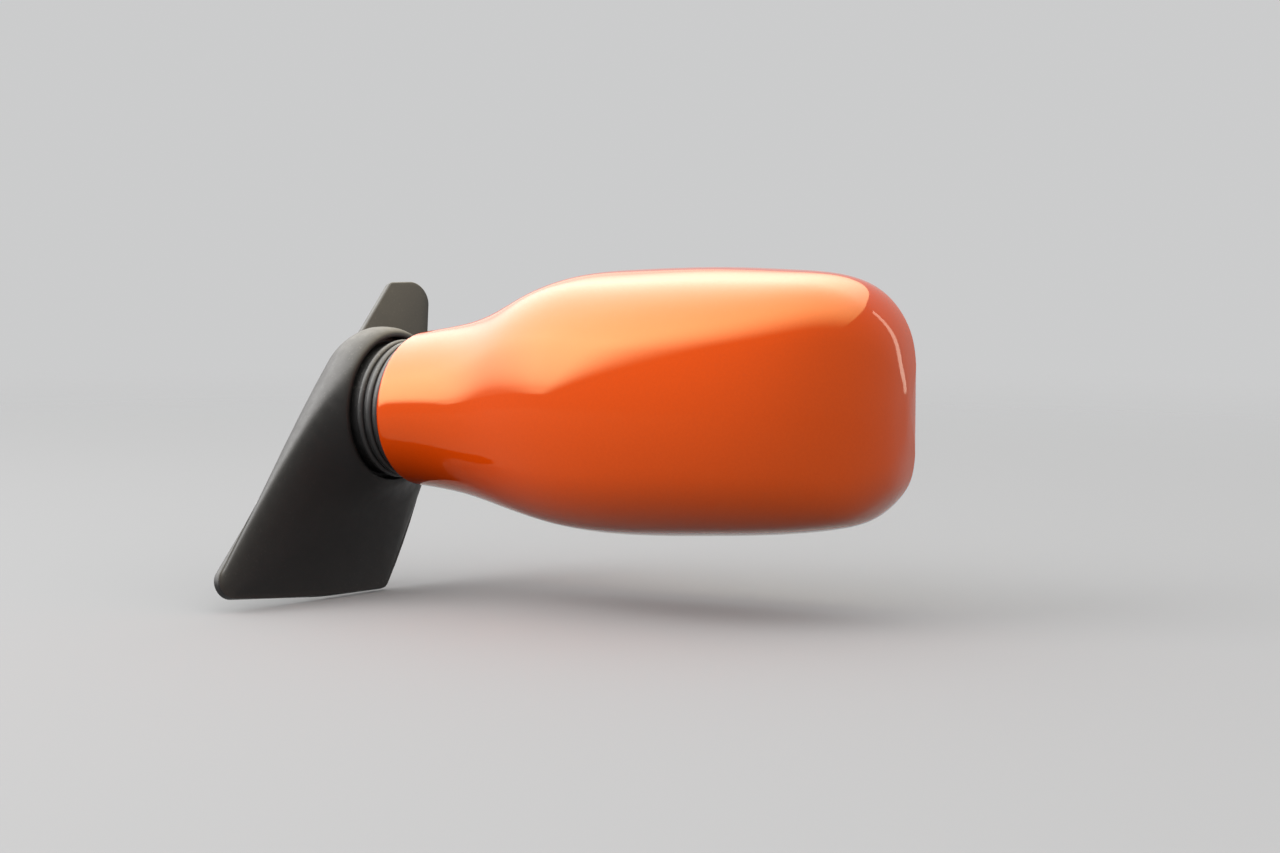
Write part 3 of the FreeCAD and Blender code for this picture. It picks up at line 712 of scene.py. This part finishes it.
# %% Outline of the foot
FOOT_HUB = Vector((22.0, 22.0))
# rearward, up the slope, radius, swelling half way to the collar
FOOT_CORNERS = [(-63.0, -40.0, 6.0, 0.5), (18.2, -46.8, 4.0, 0.5), (39.5, 6.1, 20.0, 2.0),
                (42.0, 28.0, 16.0, 4.5), (24.9, 33.6, 12.0, 6.5)]
COLLAR_RADIUS = 37.0
SIDE_SPAN = math.radians(4.0)
SIDE_STEPS, CORNER_ARC_STEPS = 5, 19


def side_angles(share):
    """The angle at which each side of the outline faces, corner by corner."""
    angles = []
    following = FOOT_CORNERS[1:] + FOOT_CORNERS[:1]
    for (x0, y0, r0, s0), (x1, y1, r1, s1) in zip(FOOT_CORNERS, following):
        shrink = r0 - r1 + 4 * (s0 - s1) * share
        turn = math.acos(shrink * math.cos(SIDE_SPAN) / math.hypot(x1 - x0, y1 - y0))
        angles.append(math.atan2(y1 - y0, x1 - x0) - turn)
    return angles


def foot_outline(share, spread=0.0):
    """The foot's outline at share 0 and the collar's circle at share 1, about the spine."""
    rest = 1 - share
    circles = [(Vector((x, y)) - FOOT_HUB, r, s) for x, y, r, s in FOOT_CORNERS]
    circles = [(p * rest, r * rest + COLLAR_RADIUS * share + 4 * s * share * rest + spread)
               for p, r, s in circles]
    angles = side_angles(share)
    points = []
    for i, angle in enumerate(angles):
        (p0, r0), (p1, r1) = circles[i], circles[(i + 1) % len(circles)]
        swing = (angles[(i + 1) % len(angles)] - angle) % math.tau
        start = p0 + r0 * unit(angle - SIDE_SPAN)
        end = p1 + r1 * unit(angle + SIDE_SPAN)
        side = (end - start).length / (2 * math.sin(SIDE_SPAN))
        middle = start - side * unit(angle - SIDE_SPAN)
        for k in range(SIDE_STEPS):
            turn = angle - SIDE_SPAN + 2 * SIDE_SPAN * k / SIDE_STEPS
            points.append(middle + side * unit(turn))
        for k in range(CORNER_ARC_STEPS):
            turn = angle + SIDE_SPAN + (swing - 2 * SIDE_SPAN) * k / CORNER_ARC_STEPS
            points.append(p1 + r1 * unit(turn))
    return points


print("the foot's outline has", len(foot_outline(0.0)), "points")

# %% [markdown]
# ## The foot and its collar
# The rings stand on a straight spine from the plate to the collar and turn on the way from
# the mount's lean to the arm's sweep, less the slant that the neck's lip has too. The foot
# starts in a small fillet. At the collar it rolls over a thick rounded lip into the throat
# that holds the boot. A bevel would round that edge by one radius only. Instead each
# column of points follows one cubic curve from the foot's side over the shoulder, so the
# lip is as full as on the real moulding. Behind it come the seat and the bore.

# %% Build the foot
PLATE_TOP = 5.1
FOOT_SINK, FOOT_FILLET, FILLET_STEPS = 0.6, 1.0, 5
FOOT_RINGS = 26
# along the arm past the collar's centre: where the outline is a full circle, and the lip
COLLAR_END, COLLAR_REACH = -2.3, 2.2
ROLL_START, SHOULDER_RADIUS, ROLL_STEPS = 0.8, 35.6, 18
THROAT_RADIUS, BORE_RADIUS = 31.8, 28.0
SEAT_PLACE, BORE_END = -5.0, -13.0
# the lip's inner edge: how far behind its front, and how much wider than the throat
THROAT_EDGE = [(0.0, 0.7), (0.2, 0.25), (0.8, 0.0)]


def hub_at(height):
    """The foot's hub at a height over the mounting face, in the row's frame."""
    return MOUNT_MM @ Vector((FOOT_HUB.x, FOOT_HUB.y, height))


def foot_ring(share, spread=0.0, sink=0.0):
    foot = hub_at(PLATE_TOP - sink)
    head = COLLAR_CENTRE + ARM_AXIS * COLLAR_END
    yaw, tilt = (SWEEP - math.atan(RIM_SLANT)) * share, LEAN * (1 - share)
    out = Vector((math.cos(yaw) * math.cos(tilt), math.sin(yaw) * math.cos(tilt), math.sin(tilt)))
    back = Vector((-math.sin(yaw), math.cos(yaw), 0))
    place = axes_matrix(foot.lerp(head, share), back, out.cross(back), out)
    return [place @ p.to_3d() for p in foot_outline(share, spread)]


def collar_ring(x, radius):
    """A slanted ring about the arm's axis, at a distance past the collar's centre."""
    ring = foot_ring(1.0, radius - COLLAR_RADIUS)
    return [p + ARM_AXIS * (x - COLLAR_END) for p in ring]


def roll_over(corners):
    """Rings between the first and the last of four rings, as a cubic curve per column."""
    rings = []
    for k in range(1, ROLL_STEPS):
        t = k / ROLL_STEPS
        weights = ((1 - t) ** 3, 3 * t * (1 - t) ** 2, 3 * t ** 2 * (1 - t), t ** 3)
        rings.append([sum((p * w for p, w in zip(column, weights)), Vector())
                      for column in zip(*corners)])
    return rings


spine = (COLLAR_CENTRE - hub_at(PLATE_TOP)).length
foot_rings = [foot_ring(0.0, FOOT_FILLET, FOOT_SINK)]
for k in range(FILLET_STEPS):
    height = FOOT_FILLET * k / FILLET_STEPS
    spread = FOOT_FILLET - math.sqrt(FOOT_FILLET ** 2 - (FOOT_FILLET - height) ** 2)
    foot_rings.append(foot_ring(height / spine, spread))
first = FOOT_FILLET / spine
foot_rings += [foot_ring(first + (ROLL_START - first) * k / FOOT_RINGS)
               for k in range(FOOT_RINGS + 1)]
throat = [(COLLAR_REACH - back, THROAT_RADIUS + wider) for back, wider in THROAT_EDGE]
throat += [(SEAT_PLACE, THROAT_RADIUS), (SEAT_PLACE, BORE_RADIUS), (BORE_END, BORE_RADIUS)]
throat_rings = [collar_ring(x, radius) for x, radius in throat]
shoulder = collar_ring(COLLAR_REACH, SHOULDER_RADIUS)
foot_rings += roll_over([foot_ring(ROLL_START), foot_ring(1.0), shoulder, throat_rings[0]])
foot_rings += throat_rings
foot = ring_tube("foot_moulding", foot_rings)
settle(foot, ROW, black_moulding, "base", ["pedestal"], angle=40.0)

# %% [markdown]
# ## The plate and its gasket
# The foot stands on a flat plate with one long corner that reaches up and back. Its edge
# is rounded like every moulding's. Under it lies a rubber gasket, which seals with two
# raised ribs and has a hole for each stud. Ribs could be laid on as beads, but drawn as
# rings of the same outline they follow every corner of the plate.

# %% Model the plate and the gasket
# rearward, up the slope, radius
SAIL_OUTLINE = [(-79.5, -45.3, 7.0), (-15.0, -51.5, 150.0), (20.5, -52.0, 3.0),
                (57.0, -7.0, 50.0), (94.5, 92.6, 9.0), (69.0, 92.6, 4.0)]
PLATE_CHAMFER, PLATE_ROUND = 0.3, 0.9
GASKET_THICKNESS, GASKET_INSET = 1.6, 3.0
RIB_INSETS, RIB_HEIGHT = (4.2, 8.2), 0.5
# across a rib, with how far its surface stays above the mounting face
RIB_PROFILE = [(-1.0, RIB_HEIGHT), (-0.6, 0.1), (-0.3, 0.0), (0.3, 0.0), (0.6, 0.1),
               (1.0, RIB_HEIGHT)]
STUD_CIRCLE, STUD_COUNT, STUD_PHASE = 44.0, 3, math.radians(73.0)
HOLE_RADIUS, HOLE_POINTS, HOLE_ENDS = 5.2, 48, (-2.0, 4.0)


def sail(offset, z):
    """The plate's outline, moved out by offset, at a height over the mounting face."""
    return [Vector((p.x, p.y, z)) for p in rounded_outline(SAIL_OUTLINE, offset)]


plate_rings = [sail(-PLATE_CHAMFER, GASKET_THICKNESS), sail(0.0, GASKET_THICKNESS + PLATE_CHAMFER)]
plate_rings += [sail(-inset, PLATE_TOP - drop) for inset, drop in round_steps(PLATE_ROUND)]
plate = ring_tube("sail_panel", plate_rings)
settle(plate, MOUNT, black_moulding, "base", ["sail_plate"])

gasket_rings = [sail(-GASKET_INSET, GASKET_THICKNESS), sail(-GASKET_INSET, RIB_HEIGHT)]
gasket_rings += [sail(-inset - step, level) for inset in RIB_INSETS for step, level in RIB_PROFILE]
gasket = ring_tube("door_gasket", gasket_rings)
outward(gasket)
stud_turns = [STUD_PHASE + math.tau * k / STUD_COUNT for k in range(STUD_COUNT)]
stud_places = [unit(turn).to_3d() * STUD_CIRCLE / 2 for turn in stud_turns]
for place in stud_places:
    circle = [unit(turn).to_3d() * HOLE_RADIUS + place
              for turn in np.linspace(0, math.tau, HOLE_POINTS, endpoint=False)]
    cut_with(gasket, ring_tube("hole", [[p + UP * z for p in circle] for z in HOLE_ENDS]))
settle(gasket, MOUNT, gasket_rubber, "base", ["foot_gasket"])

# %% [markdown]
# ## The threaded studs
# Three studs stand out of the foot, so that it can be bolted on from behind. Their threads
# are real geometry. A screw modifier would wind a profile round the axis, but it leaves
# the thread's ends open. Here each ring of the stud is pushed in and out along a helix,
# and the plain shank, the root in the foot and the chamfered tip are only more rings.

# %% Model the threaded studs
STUD_RADIUS, STUD_ROOT, STUD_LENGTH = 3.0, 4.5, 18.0
PITCH, THREAD_DEPTH, THREAD_FINENESS = 1.0, 0.55, 8
STUD_POINTS = 56
# up from the tip, and radius
STUD_TIP = [(0.0, 1.9), (0.25, 2.32), (0.5, 2.54)]
TIP_LENGTH, THREAD_END = 1.0, -1.5
# shares of the pitch from the groove's middle between which its flank rises
FLANK_FOOT, FLANK_TOP = 0.125, 0.375
ROOT_FILLET, ROOT_DEPTH = 0.2, 0.8
SHANK_START = THREAD_END + 0.3
STUD_SHANK = [(SHANK_START, STUD_RADIUS), (GASKET_THICKNESS - ROOT_FILLET, STUD_RADIUS),
              (GASKET_THICKNESS, STUD_RADIUS + ROOT_FILLET), (GASKET_THICKNESS, STUD_ROOT),
              (PLATE_TOP - ROOT_DEPTH, STUD_ROOT)]


def thread_drop(turn, z):
    """How far the thread is cut in at this turn and height: flat crest, sloped flanks."""
    phase = (z / PITCH - turn / math.tau) % 1.0
    depth = (FLANK_TOP - abs(phase - 0.5)) / (FLANK_TOP - FLANK_FOOT)
    return THREAD_DEPTH * min(max(depth, 0.0), 1.0)


def stud_ring(place, z, radius, threaded=False):
    turns = [math.tau * k / STUD_POINTS for k in range(STUD_POINTS)]
    reach = [radius - (thread_drop(t, z) if threaded else 0.0) for t in turns]
    return [place + Vector((r * math.cos(t), r * math.sin(t), z)) for r, t in zip(reach, turns)]


thread_start = TIP_LENGTH - STUD_LENGTH
thread_steps = round((THREAD_END - thread_start) / PITCH * THREAD_FINENESS)
for number, place in enumerate(stud_places, 1):
    rings = [stud_ring(place, z - STUD_LENGTH, radius) for z, radius in STUD_TIP]
    rings += [stud_ring(place, thread_start + k * PITCH / THREAD_FINENESS, STUD_RADIUS, True)
              for k in range(thread_steps + 1)]
    rings += [stud_ring(place, z, radius) for z, radius in STUD_SHANK]
    stud = ring_tube(f"stud_{number}", rings)
    replaced = ["mounting_studs"] if number == 1 else []
    settle(stud, MOUNT, zinc_steel, "base", replaced, angle=30.0)

# %% [markdown]
# ## The bellows
# Between collar and neck runs a soft ribbed boot. When the head folds, its rear side is
# squeezed and its front side stretches, so it has to bend with the joint. Being round, it
# is turned like a pot: a closed profile is drawn in the plane of the axis and spun once
# round it, then slid into the slant of the two lips that it joins. The profile is drawn
# in many fine steps.

# %% Spin the bellows
# along the arm, from the neck's start, and radius of each fold
CRESTS = [(-8.3, 30.9), (-4.2, 30.5), (-0.6, 30.4)]
CREST_HALF, CREST_STEPS, CREST_FULLNESS = 1.55, 10, 0.8
GROOVE, INNER, FLANGE = 29.2, 28.8, 31.5
BELLOWS_START, FLANGE_END, BELLOWS_END = -18.9, -17.0, 3.2
FLANGE_ROUND = 0.3
FLANGE_FILLET = [(0.0, 0.8), (0.3, 0.2), (1.0, 0.0)]
PLAIN_STEPS = (-14.5, -13.0, -11.5, -10.6)
INNER_STEPS, SPIN_STEPS = 18, 96

profile = [(BELLOWS_START, INNER), (BELLOWS_START, FLANGE - FLANGE_ROUND),
           (BELLOWS_START + FLANGE_ROUND, FLANGE), (FLANGE_END - FLANGE_ROUND, FLANGE),
           (FLANGE_END, FLANGE - FLANGE_ROUND)]
profile += [(FLANGE_END + x, GROOVE + rise) for x, rise in FLANGE_FILLET]
profile += [(x, GROOVE) for x in PLAIN_STEPS]
for x, radius in CRESTS:
    for k in range(CREST_STEPS + 1):
        turn = math.pi * k / CREST_STEPS
        height = (radius - GROOVE) * math.sin(turn) ** CREST_FULLNESS
        profile.append((x - CREST_HALF * math.cos(turn), GROOVE + height))
profile += [(BELLOWS_END, GROOVE), (BELLOWS_END, INNER)]
profile += [(BELLOWS_END + (BELLOWS_START - BELLOWS_END) * k / INNER_STEPS, INNER)
            for k in range(1, INNER_STEPS)]

bellows = new_circle("ribbed_bellows", len(profile), radius=START_RADIUS)
for vertex, (x, radius) in zip(bellows.data.vertices, profile):
    vertex.co = (x, 0.0, radius)
bpy.ops.object.mode_set(mode="EDIT")
bpy.ops.mesh.select_all(action="SELECT")
bpy.ops.mesh.spin(steps=SPIN_STEPS, angle=math.tau, center=(0, 0, 0), axis=(1, 0, 0))
bpy.ops.object.mode_set(mode="OBJECT")
for vertex in bellows.data.vertices:
    vertex.co.x += vertex.co.y * RIM_SLANT
settle(bellows, ARM, bellows_rubber, None, ["bellows"], angle=50.0)
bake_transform(bellows)

# %% [markdown]
# ## The mirror glass
# The glass is two millimetres thick and slightly domed, so that it shows a wider view. A
# flat pane would be simpler, but it would reflect wrongly from every side. Its outline is
# the mouth's, drawn in by a gap. It is shrunk ring by ring to the middle, each point is
# lifted onto a sphere of 1.4 metres, and the polished edge is a narrow chamfer.

# %% Model the glass
GLASS_CENTRE = (139.3, 6.6)
GLASS_FACE, GLASS_THICKNESS, GLASS_CURVE = 24.0, 2.0, 1400.0
GLASS_OFFSET = -9.55
CHAMFER_WIDTH, CHAMFER_DEPTH = 0.35, 0.3
GLASS_RINGS, GLASS_STRAIGHT = 18, 9
LEAST_SHRINK = 0.004


def on_sphere(points, share, depth=0.0):
    """Points shrunk towards the glass's centre and lifted onto its curved face."""
    x, z = GLASS_CENTRE
    lifted = []
    for p in points:
        across, up = (p.x - x) * share, (p.y - z) * share
        drop = GLASS_CURVE - math.sqrt(GLASS_CURVE ** 2 - across ** 2 - up ** 2)
        lifted.append(Vector((x + across, GLASS_FACE - drop - depth, z + up)))
    return lifted


edge = rounded_outline(MOUTH, GLASS_OFFSET, GLASS_STRAIGHT)
rim = rounded_outline(MOUTH, GLASS_OFFSET - CHAMFER_WIDTH, GLASS_STRAIGHT)
shares = [max(k / GLASS_RINGS, LEAST_SHRINK) for k in range(GLASS_RINGS + 1)]
glass_rings = [on_sphere(rim, share, GLASS_THICKNESS) for share in shares]
glass_rings += [on_sphere(edge, 1.0, GLASS_THICKNESS - CHAMFER_DEPTH),
                on_sphere(edge, 1.0, CHAMFER_DEPTH)]
glass_rings += [on_sphere(rim, share) for share in shares[::-1]]
glass = ring_tube("convex_glass", glass_rings)
settle(glass, ARM, mirror_glass, "glass", ["mirror_glass"], angle=20.0)

# %% [markdown]
# ## The trim round the mouth
# A black ring lines the mouth and hides the gap round the glass. It clips into the shell
# with a flange behind the painted wall. It could be a curve with a bevel profile, but the
# mouth's own outline, moved out and in by a few steps of a profile, fits the opening all
# round. The last ring lies on the first, and merging the doubled points closes the loop.

# %% Model the trim
FLANGE_REAR, FLANGE_DEPTH, FLANGE_REACH = REAR - WALL - 0.15, 2.4, 1.0
TRIM_INNER, TRIM_OUTER = -2.15, -0.15
# offset from the mouth's outline, and y
TRIM_PROFILE = [(TRIM_INNER, 24.3), (TRIM_INNER, 33.9), (-1.95, 34.4), (-1.5, 34.6), (-0.6, 34.6),
                (-0.25, 34.4), (TRIM_OUTER, 34.0), (TRIM_OUTER, FLANGE_REAR),
                (FLANGE_REACH, FLANGE_REAR), (FLANGE_REACH, FLANGE_REAR - FLANGE_DEPTH),
                (TRIM_OUTER, FLANGE_REAR - FLANGE_DEPTH), (TRIM_OUTER, 24.3), (-0.45, 24.0),
                (-1.85, 24.0), (TRIM_INNER, 24.3)]

trim = ring_tube("mouth_trim", [mouth_ring(offset, y) for offset, y in TRIM_PROFILE], ends=False)
settle(trim, ARM, bezel_plastic, "head", ["mouth_bezel"])

# %% [markdown]
# ## The solids that stay
# The fork, the pin, the frame, the adjuster, the ball, the holder and the screws have the
# right shape already and sit inside the head or the collar. Building them again would
# add faces that nobody sees, so they only exchange their plain material for a finish.

# %% Dress the solids that stay
STAYING = {"fold_fork": cast_alloy, "fold_pin": zinc_steel, "frame_screws": zinc_steel,
           "support_frame": frame_plastic, "adjuster_housing": adjuster_plastic,
           "pivot_ball": zinc_steel, "glass_holder": holder_plastic}
for name, material in STAYING.items():
    nodes[name].data.materials[0] = material
print("dressed", len(STAYING), "solids")

# %% [markdown]
# ## The floor
# The mirror is shown in a plain pale studio. The floor is a disc that turns clear towards
# its edge, into an equally pale world, so that no horizon crosses the picture, and it
# keeps the soft shadow. A curved backdrop would only work from one side. For light that
# has bounced off it the floor is much darker than it looks, because a pale one would lift
# the undersides of the foot and the head, which should stay dark.

# %% Build the floor
FLOOR_COLOUR = (0.50, 0.50, 0.50, 1.0)
FLOOR_BOUNCE = (0.08, 0.08, 0.08, 1.0)
FLOOR_POINTS, FLOOR_RADIUS, FLOOR_ROUGHNESS = 96, 3.0, 0.9
FLOOR_GAP = 0.5 * MM
# the distances from the origin in metres between which the floor fades out
FLOOR_FADE = (0.45, 1.7)
# the middle of the mirror, which the floor lies under and the lights aim at
AIM = Vector((0.10, 0.03, 0.03))


def show_mixed(tree, output, factor, first, second):
    """Mixes two shaders by a factor and shows the result."""
    mix = add_node(tree, "MixShader", {0: factor, 1: first, 2: second})
    tree.links.new(mix.outputs["Shader"], tree.nodes[output].inputs["Surface"])


floor = new_circle("floor", FLOOR_POINTS, radius=FLOOR_RADIUS, fill_type="NGON",
                   location=(AIM.x, AIM.y, cad_low.z - FLOOR_GAP))
bpy.ops.object.transform_apply(location=True)
floor_finish = bpy.data.materials.new("floor")
floor_finish.use_nodes = True
tree = floor_finish.node_tree
surface = tree.nodes["Principled BSDF"]
surface.inputs["Roughness"].default_value = FLOOR_ROUGHNESS
surface.inputs["Specular IOR Level"].default_value = 0.0
path = add_node(tree, "LightPath")
tone = mix_colours(tree, path.outputs["Is Diffuse Ray"], FLOOR_COLOUR, FLOOR_BOUNCE)
tree.links.new(tone, surface.inputs["Base Color"])
place = add_node(tree, "TexCoord")
reach = add_node(tree, "VectorMath", {0: place.outputs["Object"]}, operation="LENGTH")
fade = ranged(tree, reach.outputs["Value"], *FLOOR_FADE, kind="SMOOTHSTEP")
clear = add_node(tree, "BsdfTransparent")
show_mixed(tree, "Material Output", fade, surface.outputs["BSDF"], clear.outputs["BSDF"])
floor.data.materials.append(floor_finish)
print("floor at", round(cad_low.z / MM, 1), "mm")

# %% [markdown]
# ## The world
# The world has two jobs. The camera, gloss and glass see it as one even pale tone, which
# is the background. Matt surfaces are lit by a soft dome instead, which is dark below the
# horizon and dimmer towards one side, so that the head and the foot keep their form. One
# tone for both jobs would light their undersides as much as their tops.

# %% Build the world
PALE = (0.60, 0.603, 0.606, 1.0)
WHITE = (1.0, 1.0, 1.0, 1.0)
# the dome's brightness below and above its edge, and the heights of that edge
DOME_LEVELS, DOME_EDGE = (0.05, 1.3), (-0.05, 0.12)
# the side towards which it dims, and the factors at the far side and there
DIM_SIDE, DIM_RANGE = (0.6, 0.8, 0.0), (1.15, 0.45)

world = bpy.data.worlds.new("studio")
scene.world = world
world.use_nodes = True
tree = world.node_tree
seen = tree.nodes["Background"]
seen.inputs["Color"].default_value = PALE
seen.inputs["Strength"].default_value = 1.0
way = add_node(tree, "TexCoord").outputs["Generated"]
level = ranged(tree, part_of(tree, way, "Z"), *DOME_EDGE, *DOME_LEVELS)
side = add_node(tree, "VectorMath", {0: way, 1: DIM_SIDE}, operation="DOT_PRODUCT")
dimmed = ranged(tree, side.outputs["Value"], -1.0, 1.0, *DIM_RANGE)
strength = combine(tree, level, dimmed)
fill = add_node(tree, "Background", {"Color": WHITE, "Strength": strength})
path = add_node(tree, "LightPath")
shown = path.outputs["Is Camera Ray"]
for ray in ("Is Glossy Ray", "Is Transmission Ray"):
    shown = combine(tree, shown, path.outputs[ray], "ADD")
show_mixed(tree, "World Output", shown, fill.outputs["Background"], seen.outputs["Background"])
print("world seen at", PALE[0], "and lighting at", DOME_LEVELS[1])

# %% [markdown]
# ## The lights
# The paint mirrors what stands over it as a pale field with a clear lower edge. A long
# card overhead, which only gloss can see, gives that field: its edge runs along the head,
# its colour grows warmer and darker to the rear, and both of its long sides fade. A narrow
# card behind draws a thin line on the head's outer end. A softbox at the camera's left,
# for matt surfaces alone, models the foot and the neck. One big lamp could do most of
# this at once, but then no part of it could be tuned by itself.

# %% Helper: a soft light
def soft_light(name, centre, facing, along, width, length, radiance, seen_by):
    """An area light at a point, facing a direction, its length laid along another."""
    data = bpy.data.lights.new(name, "AREA")
    data.shape = "RECTANGLE"
    data.size, data.size_y = width, length
    data.energy = radiance * math.pi * width * length
    light = bpy.data.objects.new(name, data)
    scene.collection.objects.link(light)
    back = -facing.normalized()
    across = along.cross(back).normalized()
    light.matrix_world = axes_matrix(centre, across, back.cross(across), back)
    light.visible_camera = False
    light.visible_diffuse = seen_by == "matt"
    light.visible_glossy = seen_by == "gloss"
    return light


print("lights aim at", [round(v / MM) for v in AIM], "mm")

# %% The card overhead
CARD_HEIGHT, EDGE_AZIMUTH, CARD_RADIANCE = 0.75, 149.0, 9.6
# from above the aim, in heights: the outer and inner sides, the rear and front ends
CARD_OUT, CARD_IN, CARD_REAR, CARD_FRONT = 1.5, 6.0, 1.44, 30.0
# across the card, in heights: the two fades, with the brightness at their ends
INNER_FADE, INNER_LEVELS = (-3.0, -0.22), (0.18, 1.0)
OUTER_FADE, OUTER_LEVELS = (0.4, 1.5), (1.0, 0.0)
# along the card, in heights, with the card's colour there
CARD_TONES = [(-30.0, (0.20, 0.19, 0.18)), (-12.0, (0.42, 0.41, 0.39)),
              (-5.0, (0.80, 0.79, 0.77)), (-1.6, (1.0, 0.99, 0.98)),
              (-0.7, (0.86, 0.84, 0.80)), (-0.1, (0.72, 0.69, 0.62)),
              (0.8, (0.52, 0.46, 0.34)), (1.44, (0.30, 0.24, 0.14))]


def card_fade(tree, across, reach, levels, kind):
    """A brightness that changes between two levels over a reach across the card."""
    shares = [(mark + CARD_IN) / (CARD_OUT + CARD_IN) for mark in reach]
    return ranged(tree, across, *shares, *levels, kind)


edge_along, edge_out = bearing(EDGE_AZIMUTH), bearing(EDGE_AZIMUTH - 90.0)
card_centre = AIM + CARD_HEIGHT * (UP + edge_out * (CARD_OUT - CARD_IN) / 2
                                   + edge_along * (CARD_REAR - CARD_FRONT) / 2)
card = soft_light("overhead_card", card_centre, -UP, edge_along,
                  CARD_HEIGHT * (CARD_OUT + CARD_IN), CARD_HEIGHT * (CARD_REAR + CARD_FRONT),
                  CARD_RADIANCE, "gloss")
card.data.use_nodes = True
tree = card.data.node_tree
shine = tree.nodes["Emission"]
spot = add_node(tree, "NewGeometry").outputs["Parametric"]
ramp = add_node(tree, "ValToRGB", {"Fac": part_of(tree, spot, "Y")})
# a new ramp has two stops already, which take the first two tones
stops = ramp.color_ramp.elements
for k, (mark, colour) in enumerate(CARD_TONES):
    place = (mark + CARD_FRONT) / (CARD_REAR + CARD_FRONT)
    stop = stops[k] if k < 2 else stops.new(place)
    stop.position = place
    stop.color = (*colour, 1.0)
across = part_of(tree, spot, "X")
inner = card_fade(tree, across, INNER_FADE, INNER_LEVELS, "LINEAR")
outer = card_fade(tree, across, OUTER_FADE, OUTER_LEVELS, "SMOOTHSTEP")
tree.links.new(ramp.outputs["Color"], shine.inputs["Color"])
tree.links.new(combine(tree, inner, outer), shine.inputs["Strength"])
print("overhead card with", len(stops), "tones")

# %% The standing lights
STAND_DISTANCE = 1.6
# azimuth, elevation, width, length, radiance, and the surfaces that see it
STANDING = {"rear_card": (157.0, 14.0, 0.15, 0.9, 2.2, "gloss"),
            "key_softbox": (-35.0, 38.0, 1.0, 1.0, 3.0, "matt")}

for name, (azimuth, elevation, width, length, radiance, seen_by) in STANDING.items():
    way = bearing(azimuth, elevation)
    soft_light(name, AIM + way * STAND_DISTANCE, -way, UP, width, length, radiance, seen_by)
